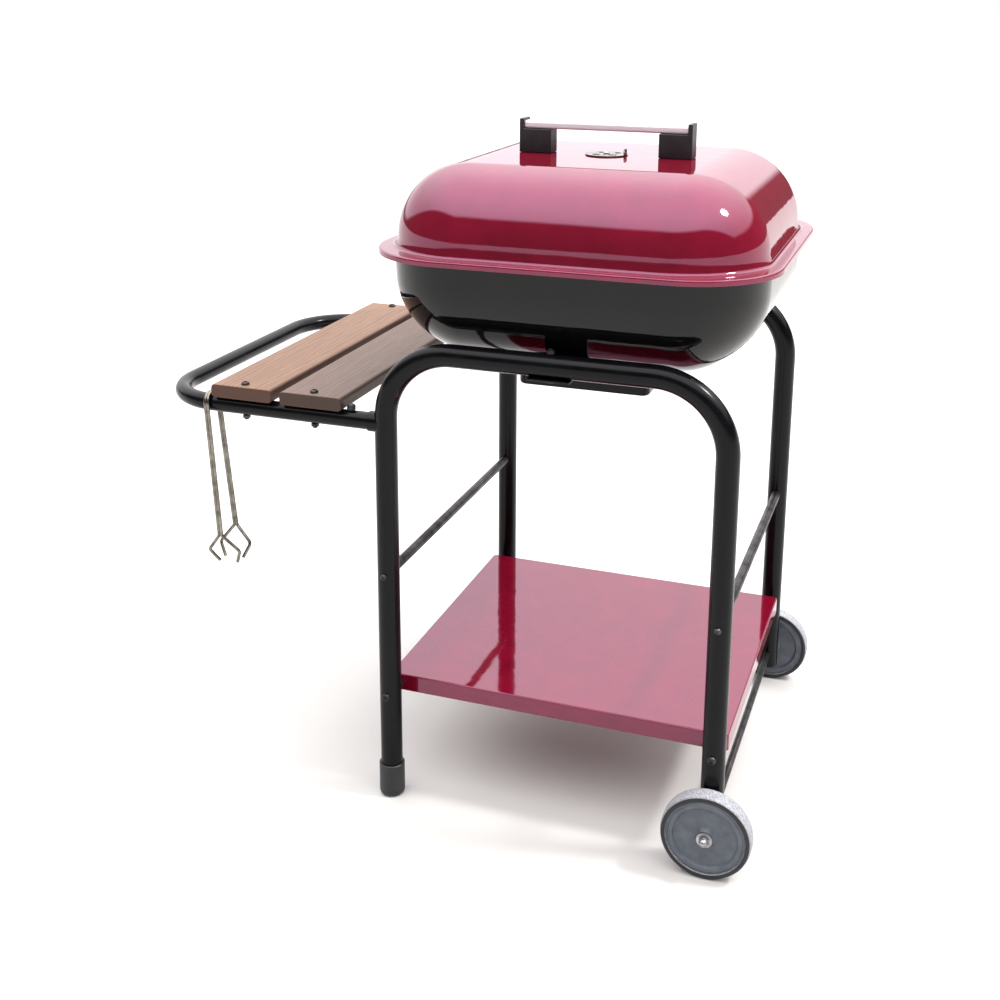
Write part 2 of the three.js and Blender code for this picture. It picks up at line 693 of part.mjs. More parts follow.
const railIn = panX / 2 + PAN_LIP + 1.5;
const railOut = railIn + RAIL_T;
const railTop = bowlZ - GAP;
const footTop = panTop - PAN_SHEET - GAP;
const railSection = [
  [railIn - RAIL_FOOT, footTop - RAIL_T], [railOut, footTop - RAIL_T], [railOut, railTop],
  [railIn - 2 * RAIL_FOOT, railTop], [railIn - 2 * RAIL_FOOT, railTop - RAIL_T],
  [railIn, railTop - RAIL_T], [railIn, footTop], [railIn - RAIL_FOOT, footTop],
];
for (const [hand, sx] of HANDS) {
  const section = polygon(railSection.map(([x, z]) => [sx * x, z]));
  addMesh(`ash_rail_${hand}`, prism(section, PAN_Y - PAN_CORNER, 'xz'), BLACK_PAINT);
}

// ---- lid -----------------------------------------------------------------------------------------

const lidOuter = pressingCurve(lidTopZ, 1, LID_REACH, LID_SWEEP, LID_DRAFT, 0);
const lidInner = pressingCurve(lidTopZ, 1, LID_REACH, LID_SWEEP, LID_DRAFT, SHEET);
const lidShell = pressed([
  [null, lidTopZ], ...lidOuter.toReversed(), [0, rimZ], [-RIM_W, rimZ], [-RIM_W, rimZ - RIM_LIP],
  [-RIM_W + SHEET, rimZ - RIM_LIP], [-RIM_W + SHEET, rimZ - SHEET], [SHEET, rimZ - SHEET],
  ...lidInner, [null, lidTopZ - SHEET],
]);

const postX = HANDLE_L / 2 - POST_PLATE - (POST_W - POST_PLATE) / 2;
const holeRing = (offset) => Array.from({ length: DAMPER_HOLES }, (_, i) => {
  const angle = (i + offset) * 2 * Math.PI / DAMPER_HOLES;
  return [DAMPER_HOLE_PITCH_R * Math.cos(angle), DAMPER_HOLE_PITCH_R * Math.sin(angle)];
});
const lid = cut(
  lidShell,
  ...[-postX, postX].map((x) => upright(m6Hole, x, 0, lidTopZ)),
  ...holeRing(0).map(([x, y]) => upright(DAMPER_HOLE_D / 2, x, y, lidTopZ)),
  upright(RIVET_D / 2 + GAP, 0, 0, lidTopZ),
);
addMesh('lid', lid, RED_ENAMEL);

// damper disc, shut as drawn: its holes are half a pitch from the lid's
const damperZ = lidTopZ + GAP + DAMPER_T / 2;
const damperBlank = rod(
  DAMPER_D / 2, [0, 0, damperZ - DAMPER_T / 2], [0, 0, damperZ + DAMPER_T / 2], WHEEL_SIDES,
);
const damperTab = box([2, 12, 9], [DAMPER_D / 2 - 3, 0, damperZ + 4.5]);
const damper = cut(
  join(damperBlank, damperTab),
  ...holeRing(0.5).map(([x, y]) => upright(DAMPER_HOLE_D / 2, x, y, damperZ)),
  upright(RIVET_D / 2 + GAP, 0, 0, damperZ),
);
addMesh('lid_damper', damper, CHROME);

const rivetGrip = SHEET + DAMPER_T + 3 * GAP;
const rivet = turned([
  [0, -rivetGrip - 1.5], [RIVET_D * 0.8, -rivetGrip - 1.5], [RIVET_D * 0.8, -rivetGrip],
  [RIVET_D / 2, -rivetGrip], [RIVET_D / 2, 0], [RIVET_D, 0], [RIVET_D * 0.6, 2], [0, 2],
]);
addMesh('damper_rivet', rivet, ZINC).position.z = lidTopZ + 2 * GAP + DAMPER_T;

// handle: two moulded posts with end plates, and a flat bar between the plates
const postFoot = lidTopZ + GAP;
const barZ = postFoot + POST_H + GAP;
const screwTop = barZ + HANDLE_BAR_T * 0.7;
const screwHole = (x) => drill(m6Hole, [x, 0, postFoot - 5], [x, 0, screwTop + 1]);
for (const [hand, sx] of HANDS) {
  const end = HANDLE_L / 2;
  const outline = [
    [end - POST_W, postFoot], [end, postFoot], [end, barZ + HANDLE_BAR_T + PLATE_OVER_BAR],
    [end - POST_PLATE, barZ + HANDLE_BAR_T + PLATE_OVER_BAR], [end - POST_PLATE, barZ - GAP],
    [end - POST_W, barZ - GAP],
  ].map(([x, z]) => [sx * x, z]);
  const post = cut(prism(polygon(outline), POST_D, 'xz'), screwHole(sx * postX));
  addMesh(`handle_post_${hand}`, post, BLACK_PLASTIC);
  const fixing = addMesh(`handle_screw_${hand}`, screw(screwTop - lidTopZ + SHEET + GAP), ZINC);
  fixing.rotation.x = Math.PI;
  fixing.position.set(sx * postX, 0, lidTopZ - SHEET - GAP);
}
const handleSection = polygon(roundedOutline(HANDLE_BAR_D / 2, HANDLE_BAR_T / 2, 3.5, 2));
const handleL = HANDLE_L - 2 * (POST_PLATE + GAP);
const handleBar = cut(
  prism(handleSection, handleL, 'yz', [0, 0, barZ + HANDLE_BAR_T / 2]),
  screwHole(-postX),
  screwHole(postX),
);
addMesh('handle_bar', handleBar, ALUMINIUM);

// ---- side table ----------------------------------------------------------------------------------

const knobX = -legX - KNOB_FROM_LEG;
const armEnd = collarX - GAP;
const tableRun = new TubeRun(
  [[armEnd, -frameY, armZ], [railX, -frameY, armZ], [railX, frameY, armZ], [armEnd, frameY, armZ]],
  [TABLE_BEND_R, TABLE_BEND_R],
  [BEND_STEPS, BEND_STEPS],
);
const tableHoles = [-frameY, frameY].flatMap((y) => [
  ...slatX.map((x) => drill(m6Hole, [x, y, armZ - TABLE_TUBE_D], [x, y, armZ + TABLE_TUBE_D])),
  drill(m6Hole, [knobX, y, armZ], [knobX, y, armZ + TABLE_TUBE_D]),
]);
addMesh('table_frame', cut(bentTube(tableRun, armR, TABLE_TUBE_WALL), ...tableHoles), BLACK_PAINT);

const spigotR = armR - TABLE_TUBE_WALL - GAP;
const screwEnd = armZ - armR * 0.2;
for (const [side, sy] of SIDES) {
  const y = sy * frameY;
  // collar against the leg, with a spigot inside the arm
  const stub = cut(
    join(
      rod(COLLAR_D / 2, [-legX, y, armZ], [collarX, y, armZ], TUBE_SIDES),
      rod(spigotR, [-legX, y, armZ], [collarX - SPIGOT_L, y, armZ], TUBE_SIDES),
    ),
    drill(tubeR + GAP, [-legX, y, armZ - TUBE_D], [-legX, y, armZ + TUBE_D], TUBE_SIDES),
    box([TUBE_D, TUBE_D * 2, TUBE_D * 2], [-legX + TUBE_D / 2, y, armZ]),
    drill(m6Hole, [knobX, y, screwEnd - 1], [knobX, y, armZ + TABLE_TUBE_D]),
  );
  addMesh(`table_stub_${side}`, stub, BLACK_PAINT);

  const knobFoot = armZ + armR + GAP;
  const knob = turned([
    [0, screwEnd - knobFoot], [m6R, screwEnd - knobFoot], [m6R, 0], [KNOB_D / 2 - 1, 0],
    [KNOB_D / 2, 1.5], [KNOB_D / 2, KNOB_H - 2], [KNOB_D / 2 - 2, KNOB_H], [0, KNOB_H],
  ], 10);
  addMesh(`thumb_screw_${side}`, knob, BLACK_PLASTIC).position.set(knobX, y, knobFoot);
}

const slatFoot = armZ + armR + GAP;
const slatSection = polygon(roundedOutline(SLAT_W / 2, SLAT_T / 2, SLAT_ROUND, 3));
const slatL = FRAME_DEPTH + 2 * SLAT_PAST_ARM;
['outer', 'inner'].forEach((place, i) => {
  const x = slatX[i];
  const slat = cut(
    prism(slatSection, slatL, 'xz', [x, 0, slatFoot + SLAT_T / 2]),
    ...[-frameY, frameY].map((y) =>
      drill(m6Hole, [x, y, slatFoot - 5], [x, y, slatFoot + SLAT_T + 5])),
  );
  addMesh(`slat_${place}`, slat, WOOD);
  for (const [side, sy] of SIDES) {
    const held = bolt(SLAT_T + TABLE_TUBE_D + 3 * GAP, 13);
    const fixing = addMesh(`slat_bolt_${side}_${place}`, held, ZINC);
    fixing.position.set(x, sy * frameY, slatFoot + SLAT_T + GAP);
  }
});

// ---- tongs ---------------------------------------------------------------------------------------

// Two wires side by side, bent over the arm and parting into claws at both ends.
const wireR = WIRE_D / 2;
const hookR = armR + HOOK_PLAY + wireR;
const armFoot = TONGS_SPREAD / 2;
const wires = [-1, 1].map((s) => {
  const x = s * wireR * 0.84;
  const half = (sy) => [
    [s * CLAW_W * 0.29, sy * (armFoot - 14), -TONGS_L - CLAW_L],
    [s * CLAW_W / 2, sy * (armFoot - 6), -TONGS_L - CLAW_L * 0.56],
    [x, sy * armFoot, -TONGS_L],
    [x, sy * hookR, hookR],
  ];
  const bends = [CLAW_BEND, CLAW_BEND, hookR];
  const steps = [2, 2, 4];
  const run = new TubeRun(
    [...half(-1), ...half(1).reverse()],
    [...bends, ...bends.toReversed()],
    [...steps, ...steps.toReversed()],
  );
  return bentTube(run, wireR, 0, 6);
});
const tongs = addMesh('tongs', join(...wires), CHROME);
tongs.position.set(tongsX, -frameY, armZ);
tongs.rotation.y = -TONGS_LEAN * Math.PI / 180;

export default group;
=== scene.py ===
import math

import bpy
from mathutils import Euler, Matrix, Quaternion, Vector


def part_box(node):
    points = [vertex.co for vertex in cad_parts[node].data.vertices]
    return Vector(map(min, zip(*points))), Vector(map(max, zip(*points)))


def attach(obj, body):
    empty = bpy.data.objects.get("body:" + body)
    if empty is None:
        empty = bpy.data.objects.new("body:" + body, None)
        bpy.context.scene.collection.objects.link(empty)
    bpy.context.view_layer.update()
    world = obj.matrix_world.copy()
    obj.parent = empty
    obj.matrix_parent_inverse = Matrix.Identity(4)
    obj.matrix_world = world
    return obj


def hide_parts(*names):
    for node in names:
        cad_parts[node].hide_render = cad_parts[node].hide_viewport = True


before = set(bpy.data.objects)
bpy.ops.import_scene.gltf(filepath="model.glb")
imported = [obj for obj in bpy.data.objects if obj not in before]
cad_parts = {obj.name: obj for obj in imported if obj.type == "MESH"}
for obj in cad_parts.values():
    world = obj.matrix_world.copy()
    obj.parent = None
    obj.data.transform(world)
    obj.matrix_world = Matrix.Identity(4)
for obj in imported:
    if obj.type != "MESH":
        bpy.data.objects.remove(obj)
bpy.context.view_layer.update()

X, Y, Z = Vector((1, 0, 0)), Vector((0, 1, 0)), Vector((0, 0, 1))
SIDES = {"front": -1, "back": 1}
HANDS = {"left": -1, "right": 1}


# ---- front and back frames -------------------------------------------------------------------
# Each is one length of 32 mm steel tube, bent twice into an upturned U. The left leg stands in a
# foot and the right leg is cut off below the axle. Both are gloss black powder coat.

def only(piece=None):
    """Deselects everything, then makes `piece` the one that operators act on."""
    bpy.ops.object.select_all(action="DESELECT")
    bpy.context.tool_settings.mesh_select_mode = (True, False, False)
    if piece:
        piece.select_set(True)
        bpy.context.view_layer.objects.active = piece


def apply_modifier(piece, kind, **settings):
    """Adds a modifier to the piece, sets it and applies it."""
    only(piece)
    modifier = piece.modifiers.new(kind.lower(), kind)
    for name, value in settings.items():
        setattr(modifier, name, value)
    bpy.ops.object.modifier_apply(modifier=modifier.name)


def ease(piece, width, segments=2, angle=50):
    """Rounds over every edge that is sharper than the angle."""
    apply_modifier(piece, "BEVEL", width=width, segments=segments, limit_method="ANGLE",
                   angle_limit=math.radians(angle))


def face_out():
    """Turns all faces of the mesh in edit mode outwards, then leaves edit mode."""
    bpy.ops.mesh.select_all(action="SELECT")
    bpy.ops.mesh.normals_make_consistent(inside=False)
    bpy.ops.object.mode_set(mode="OBJECT")


def smooth(piece, angle=35):
    """Shades curves smoothly and keeps the flats flat."""
    only(piece)
    bpy.ops.object.shade_smooth_by_angle(angle=math.radians(angle))
    apply_modifier(piece, "WEIGHTED_NORMAL", keep_sharp=True, weight=100)


def bent_tube(name, corners, bends, radius, wall=None, sides=48, steps=24):
    """Pushes a ring from corner to corner, and spins it round each bend. It is a tube if it has a
    wall, and else a rod."""
    points = [Vector(corner) for corner in corners]
    heading = (points[1] - points[0]).normalized()
    only()
    turn = heading.to_track_quat("Z", "Y").to_euler()
    bpy.ops.mesh.primitive_circle_add(
        vertices=sides, radius=radius, location=points[0], rotation=turn)
    tube = bpy.context.object
    tube.name = name
    bpy.ops.object.transform_apply(location=True, rotation=True, scale=True)
    bpy.ops.object.mode_set(mode="EDIT")
    bpy.ops.mesh.select_all(action="SELECT")
    here = points[0]
    for i, bend in enumerate(bends, 1):
        leaving = (points[i + 1] - points[i]).normalized()
        angle = heading.angle(leaving)
        reach = bend * math.tan(angle / 2)
        start = points[i] - heading * reach
        axis = heading.cross(leaving).normalized()
        bpy.ops.mesh.extrude_edges_move(TRANSFORM_OT_translate={"value": start - here})
        bpy.ops.mesh.spin(
            steps=steps, angle=-angle, center=start + axis.cross(heading) * bend, axis=axis)
        here = points[i] + leaving * reach
        heading = leaving
    bpy.ops.mesh.extrude_edges_move(TRANSFORM_OT_translate={"value": points[-1] - here})
    bpy.ops.mesh.select_all(action="SELECT")
    bpy.ops.mesh.remove_doubles(threshold=1e-6)
    if wall is None:
        bpy.ops.mesh.fill_holes(sides=0)
    face_out()
    if wall:
        apply_modifier(tube, "SOLIDIFY", thickness=wall, offset=-1)
    smooth(tube)
    return tube


def colour(code):
    """The linear colour of an sRGB hex code."""
    parts = [int(code[i:i + 2], 16) / 255 for i in (1, 3, 5)]
    return [*(p / 12.92 if p <= 0.04045 else ((p + 0.055) / 1.055) ** 2.4 for p in parts), 1]


def add_node(owner, kind, settings=None, values=None, links=None):
    """Adds one node to a material or world, with its settings, values and what feeds it."""
    node = owner.node_tree.nodes.new("ShaderNode" + kind)
    for name, value in (settings or {}).items():
        setattr(node, name, value)
    for name, value in (values or {}).items():
        node.inputs[name].default_value = value
    for name, source in (links or {}).items():
        owner.node_tree.links.new(source, node.inputs[name])
    return node


def start_material(name, values):
    """A new material, its shader with those values, and its Object coordinates."""
    material = bpy.data.materials.new(name)
    material.use_nodes = True
    shader = material.node_tree.nodes["Principled BSDF"]
    for socket, value in values.items():
        shader.inputs[socket].default_value = value
    return material, shader, add_node(material, "TexCoord").outputs["Object"]


def feed(material, shader, **sockets):
    """Links each source to the shader's socket of that name."""
    for socket, source in sockets.items():
        material.node_tree.links.new(source, shader.inputs[socket.replace("_", " ")])


def ramp(material, source, stops):
    """A colour ramp over `source`, with (place, colour) stops."""
    band = add_node(material, "ValToRGB", links={"Fac": source})
    elements = band.color_ramp.elements
    while len(elements) < len(stops):
        elements.new(0.5)
    for element, (place, shade) in zip(elements, stops):
        element.position = place
        element.color = shade
    return band.outputs["Color"]


def grey(value):
    return (value, value, value, 1)


def patchy(name, values, patches, colours, dullness, grain, relief):
    """A material whose colour and roughness drift in patches, with a fine grain in relief. Patches
    and grain are noise, and relief is a bump's strength and depth."""
    material, shader, place = start_material(name, values)
    drift = add_node(material, "TexNoise", values=patches, links={"Vector": place})
    fine = add_node(material, "TexNoise", values=grain, links={"Vector": place})
    bump = add_node(material, "Bump", values=relief, links={"Height": fine.outputs["Fac"]})
    feed(
        material, shader,
        Base_Color=ramp(material, drift.outputs["Fac"], colours),
        Roughness=ramp(material, drift.outputs["Fac"], [
            (at, grey(value)) for at, value in dullness]),
        Normal=bump.outputs["Normal"],
    )
    return material


# Powder coat flows out glossy but keeps a fine orange peel, here about 2 mm apart. Handling and
# dust dull it in patches some 60 mm across.
powder_coat = patchy(
    "gloss_black_powder_coat", {"IOR": 1.26},
    {"Scale": 1 / 0.060, "Detail": 6, "Roughness": 0.65},
    [(0.35, colour("#060608")), (0.75, colour("#0d0d10"))], [(0.35, 0.16), (0.7, 0.28)],
    {"Scale": 1 / 0.002, "Detail": 2}, {"Strength": 0.25, "Distance": 0.00005})


def finish(piece, body, slot, material, *nodes):
    """Paints a piece, hangs it under the empty of the body it moves with, and hides the CAD nodes
    it stands for.
    """
    piece.data.materials.clear()
    piece.data.materials.append(material)
    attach(piece, body)
    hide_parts(*nodes)


LEG_BELOW_AXLE = 0.024
FRAME_BEND = 0.100
TUBE_WALL = 0.0015
axle_lo, axle_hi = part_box("axle")
axle_at = (axle_lo + axle_hi) / 2
for side in SIDES:
    lo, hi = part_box(f"frame_{side}")
    tube_r = (hi.y - lo.y) / 2
    y = (lo.y + hi.y) / 2
    left, right, top = lo.x + tube_r, hi.x - tube_r, hi.z - tube_r
    tube = bent_tube(
        f"{side}_frame_tube",
        [(left, y, lo.z), (left, y, top), (right, y, top), (right, y, axle_at.z - LEG_BELOW_AXLE)],
        [FRAME_BEND, FRAME_BEND], tube_r, wall=TUBE_WALL)
    finish(tube, "trolley", "black_paint", powder_coat, f"frame_{side}")


# ---- feet ------------------------------------------------------------------------------------
# A deep cap of black polypropylene is pushed over each left leg. It is moulded with a thick,
# rounded sole that the leg's end stands on.

def spun(name, outline, centre, axis, steps=64, bevel=0.0):
    """Spins a section right round an axis. The section is [(radius, distance along)] points, and
    it either closes on itself or starts and ends on the axis."""
    only()
    bpy.ops.mesh.primitive_circle_add(vertices=len(outline), radius=1)
    piece = bpy.context.object
    piece.name = name
    out = axis.orthogonal().normalized()
    for vertex, (r, along) in zip(piece.data.vertices, outline):
        vertex.co = centre + out * r + axis * along
    bpy.ops.object.mode_set(mode="EDIT")
    bpy.ops.mesh.select_all(action="SELECT")
    bpy.ops.mesh.spin(steps=steps, angle=math.tau, center=centre, axis=axis)
    bpy.ops.mesh.select_all(action="SELECT")
    bpy.ops.mesh.remove_doubles(threshold=1e-6)
    bpy.ops.mesh.delete_loose(use_verts=True, use_edges=True, use_faces=False)
    face_out()
    if bevel:
        ease(piece, bevel, angle=30)
    smooth(piece)
    return piece


# Moulded polypropylene is satin, with a spark-eroded grain under a millimetre, drawn at 1.2 mm.
black_plastic = patchy(
    "moulded_black_polypropylene", {"IOR": 1.49},
    {"Scale": 1 / 0.018, "Detail": 5, "Roughness": 0.7},
    [(0.4, colour("#141416")), (0.8, colour("#29292d"))], [(0.3, 0.36), (0.8, 0.55)],
    {"Scale": 1 / 0.0012, "Detail": 3}, {"Strength": 0.35, "Distance": 0.0001})

SOLE_T = 0.006
for side in SIDES:
    lo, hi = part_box(f"foot_{side}")
    at = Vector(((lo.x + hi.x) / 2, (lo.y + hi.y) / 2, 0))
    r, h, socket = (hi.x - lo.x) / 2, hi.z, tube_r + 0.0002
    foot = spun(f"{side}_foot_cap", [
        (0, 0), (r - 0.006, 0), (r - 0.003, 0.0008), (r - 0.0010, 0.003), (r, 0.007),
        (r, h - 0.001), (r - 0.001, h), (socket, h), (socket, SOLE_T), (0, SOLE_T),
    ], at, Z)
    finish(foot, "trolley", "black_plastic", black_plastic, f"foot_{side}")


# ---- axle ------------------------------------------------------------------------------------
# A 12 mm zinc-plated steel rod through both right legs, stepped down to 8 mm at its ends for the
# wheels' domed nuts.

# Zinc plate dulls from bright to a cloudy grey in spangles, about 8 mm across.
zinc = patchy(
    "zinc_plated_steel", {"Metallic": 1.0},
    {"Scale": 1 / 0.008, "Detail": 6, "Roughness": 0.6},
    [(0.3, colour("#8d8b8e")), (0.7, colour("#b9b8ba"))], [(0.3, 0.45), (0.7, 0.28)],
    {"Scale": 1 / 0.0008, "Detail": 2}, {"Strength": 0.3, "Distance": 0.00005})

# The long rods have dulled to a dark, cloudy grey, in streaks some 30 mm long.
dull_zinc = patchy(
    "dull_zinc_plated_rod", {"Metallic": 1.0},
    {"Scale": 1 / 0.030, "Detail": 7, "Roughness": 0.65},
    [(0.35, colour("#2b2a2b")), (0.68, colour("#5a5758"))], [(0.3, 0.5), (0.7, 0.38)],
    {"Scale": 1 / 0.0012, "Detail": 3}, {"Strength": 0.4, "Distance": 0.00006})

NUT_END = 0.008
END_R = 0.004
axle_r = (axle_hi.x - axle_lo.x) / 2
half = axle_hi.y
axle_rod = spun("wheel_axle_rod", [
    (0, -half), (END_R, -half), (END_R, NUT_END - half), (axle_r, NUT_END - half),
    (axle_r, half - NUT_END), (END_R, half - NUT_END), (END_R, half), (0, half),
], Vector((axle_at.x, 0, axle_at.z)), Y, steps=40, bevel=0.0006)
finish(axle_rod, "trolley", "zinc", dull_zinc, "axle")


# ---- wheels ----------------------------------------------------------------------------------
# Each wheel is a moulded polypropylene disc with a raised ring near its edge and a boss round the
# axle, inside a solid rubber tyre. A washer and a domed nut hold it on.

# Grey polypropylene with a soft sheen. Road dust gathers in cloudy patches some 20 mm across.
wheel_plastic = patchy(
    "moulded_grey_polypropylene", {"IOR": 1.49},
    {"Scale": 1 / 0.020, "Detail": 7, "Roughness": 0.65},
    [(0.3, colour("#434951")), (0.75, colour("#5f666f"))], [(0.3, 0.34), (0.75, 0.5)],
    {"Scale": 1 / 0.0011, "Detail": 2}, {"Strength": 0.3, "Distance": 0.00008})

# Rubber is black where it is clean. The tread, which faces out from the axle, is scuffed light
# grey by the ground, in grains of 1 to 3 mm.
rubber, shader, place = start_material("moulded_black_rubber", {"IOR": 1.52, "Roughness": 0.62})
facing = add_node(rubber, "SeparateXYZ", links={
    "Vector": rubber.node_tree.nodes["Texture Coordinate"].outputs["Normal"]})
sideways = add_node(rubber, "Math", {"operation": "ABSOLUTE"}, links={0: facing.outputs["Y"]})
tread = add_node(rubber, "MapRange", {"interpolation_type": "SMOOTHSTEP"}, {
    "From Min": 0.75, "From Max": 0.25}, {"Value": sideways.outputs[0]})
grit = add_node(rubber, "TexNoise", values={
    "Scale": 1 / 0.0022, "Detail": 6, "Roughness": 0.75}, links={"Vector": place})
worn = ramp(rubber, grit.outputs["Fac"], [
    (0.32, colour("#55565a")), (0.5, colour("#8e8f93")), (0.66, colour("#bcbcbe"))])
skin = add_node(rubber, "Mix", {"data_type": "RGBA"}, {"A": colour("#1b1c20")}, {
    "Factor": tread.outputs["Result"]})
rubber.node_tree.links.new(worn, skin.inputs["B"])
bump = add_node(rubber, "Bump", values={
    "Strength": 0.5, "Distance": 0.0002}, links={"Height": grit.outputs["Fac"]})
feed(rubber, shader, Base_Color=skin.outputs["Result"], Normal=bump.outputs["Normal"])

BOSS_R = 0.012
RING_W = 0.0045
WEB_INSET = 0.0055
WASHER_T = 0.0016
NUT_FLATS = 0.0130


def hexagon(name, centre, axis, across_flats, height):
    """A hexagonal block, its foot at `centre`, with its corners eased."""
    only()
    bpy.ops.mesh.primitive_cylinder_add(
        vertices=6, radius=across_flats / math.sqrt(3), depth=height,
        location=centre + axis * height / 2, rotation=axis.to_track_quat("Z", "Y").to_euler())
    block = bpy.context.object
    block.name = name
    bpy.ops.object.transform_apply(location=True, rotation=True, scale=True)
    ease(block, 0.0006, angle=30)
    return block


def joined(name, *pieces):
    """Several meshes as one piece."""
    only(pieces[0])
    for piece in pieces[1:]:
        piece.select_set(True)
    bpy.ops.object.join()
    pieces[0].name = name
    return pieces[0]


for side, way in SIDES.items():
    lo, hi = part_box(f"wheel_disc_{side}")
    tyre_lo, tyre_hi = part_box(f"tyre_{side}")
    centre = (tyre_lo + tyre_hi) / 2
    seat = (hi.x - lo.x) / 2
    half = (hi.y - lo.y) / 2
    bore = axle_r + 0.0005
    face = half - WEB_INSET
    half_disc = [
        (bore, half), (BOSS_R - 0.001, half), (BOSS_R, half - 0.001),
        (BOSS_R + 0.003, face + 0.0012), (BOSS_R + 0.006, face),
        (seat - 0.0125, face), (seat - 0.0105, face + 0.001),
        (seat - 0.0090, half - 0.0016), (seat - 0.0080, half - 0.0010),
        (seat - 0.0080 + RING_W, half - 0.0010), (seat - 0.0022, half - 0.0022),
        (seat, half - 0.0024),
    ]
    disc = spun(
        f"{side}_wheel_disc_moulding",
        half_disc + [(r, -along) for r, along in reversed(half_disc)],
        centre, Y, steps=96)
    finish(disc, f"wheel_{side}", "grey_plastic", wheel_plastic, f"wheel_disc_{side}")

    tyre_r = (tyre_hi.x - tyre_lo.x) / 2
    half = (tyre_hi.y - tyre_lo.y) / 2
    half_tyre = [
        (seat + 0.0003, half - 0.0024), (seat + 0.0012, half - 0.0006), (seat + 0.0026, half),
        (tyre_r - 0.0042, half), (tyre_r - 0.0020, half - 0.0010), (tyre_r - 0.0008, half - 0.0032),
        (tyre_r - 0.0001, half - 0.0065), (tyre_r, half - 0.0100),
    ]
    tyre = spun(
        f"{side}_rubber_tyre",
        half_tyre + [(r, -along) for r, along in reversed(half_tyre)],
        centre, Y, steps=96)
    finish(tyre, f"wheel_{side}", "rubber", rubber, f"tyre_{side}")

    lo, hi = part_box(f"axle_nut_{side}")
    foot = Vector((centre.x, lo.y if way > 0 else hi.y, centre.z))
    washer = spun("washer", [
        (END_R, 0), (0.011, 0), (0.011, WASHER_T), (END_R, WASHER_T)], foot, Y * way, bevel=0.0003)
    flats = hexagon("flats", foot + Y * way * WASHER_T, Y * way, NUT_FLATS, 0.0050)
    dome = spun("dome", [
        (0, 0.0050), (0.0062, 0.0050), (0.0062, 0.0068), (0.0059, 0.0088), (0.0049, 0.0106),
        (0.0034, 0.0118), (0.0017, 0.0123), (0, 0.0124),
    ], foot, Y * way, steps=32)
    nut = joined(f"{side}_domed_axle_nut", washer, flats, dome)
    smooth(nut)
    finish(nut, "trolley", "zinc", zinc, f"axle_nut_{side}")


# ---- cross bars ------------------------------------------------------------------------------
# A 14 mm plated steel rod ties the two frames together at each end of the trolley. A button-head
# screw through each leg holds it.

HEAD_H = 0.004
SHANK_R = 0.003


def button_screw(name, crown, tip, head_r=0.006):
    """A plain shank from its tip to a button head, with a round socket in the crown."""
    axis = (crown - tip).normalized()
    foot = crown - axis * HEAD_H
    length = (foot - tip).length
    socket_r, socket_z = head_r * 0.42, HEAD_H - 0.0015
    return spun(name, [
        (0, socket_z), (socket_r, socket_z), (socket_r, HEAD_H), (head_r * 0.62, HEAD_H * 0.94),
        (head_r * 0.84, HEAD_H * 0.70), (head_r * 0.96, HEAD_H * 0.38), (head_r, 0.0004),
        (head_r - 0.0004, 0), (SHANK_R, 0), (SHANK_R, -length), (0, -length),
    ], foot, axis, steps=30)



for hand in HANDS:
    lo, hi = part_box(f"cross_bar_{hand}")
    bar_r = (hi.z - lo.z) / 2
    at = Vector(((lo.x + hi.x) / 2, 0, (lo.z + hi.z) / 2))
    bar = spun(f"{hand}_cross_rod", [
        (0, lo.y), (bar_r, lo.y), (bar_r, hi.y), (0, hi.y)], at, Y, steps=40, bevel=0.0008)
    finish(bar, "trolley", "zinc", dull_zinc, f"cross_bar_{hand}")
    for side, way in SIDES.items():
        lo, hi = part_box(f"cross_screw_{side}_{hand}")
        tip, crown = (lo.y, hi.y) if way > 0 else (hi.y, lo.y)
        screw = button_screw(
            f"{side}_{hand}_cross_rod_screw", at + Y * crown, at + Y * tip, head_r=0.0048)
        finish(screw, "trolley", "zinc", dull_zinc, f"cross_screw_{side}_{hand}")


# ---- bottom shelf ----------------------------------------------------------------------------
# A tray of 1.5 mm steel sheet with its four edges folded down, enamelled cherry red. Sleeves and
# bolts hold it between the legs.

def pick(piece, kind, test):
    """Selects the piece's faces by (centre, normal), or its edges by both ends, in edit mode."""
    bpy.ops.object.mode_set(mode="OBJECT")
    mesh = piece.data
    for items in (mesh.vertices, mesh.edges, mesh.polygons):
        items.foreach_set("select", [False] * len(items))
    bpy.context.tool_settings.mesh_select_mode = (False, kind == "EDGE", kind == "FACE")
    if kind == "FACE":
        for face in mesh.polygons:
            face.select = test(face.center, face.normal)
    else:
        for edge in mesh.edges:
            edge.select = test(*(mesh.vertices[i].co for i in edge.vertices))
    bpy.ops.object.mode_set(mode="EDIT")


def round_edges(piece, test, width, segments):
    """Rounds the edges whose two ends pass the test."""
    pick(piece, "EDGE", test)
    bpy.ops.mesh.bevel(offset=width, segments=segments)
    bpy.ops.object.mode_set(mode="OBJECT")


def block(name, lo, hi):
    """A box between two corners, in object mode."""
    only()
    bpy.ops.mesh.primitive_cube_add(size=1, location=(lo + hi) / 2, scale=hi - lo)
    piece = bpy.context.object
    piece.name = name
    bpy.ops.object.transform_apply(location=True, rotation=True, scale=True)
    return piece


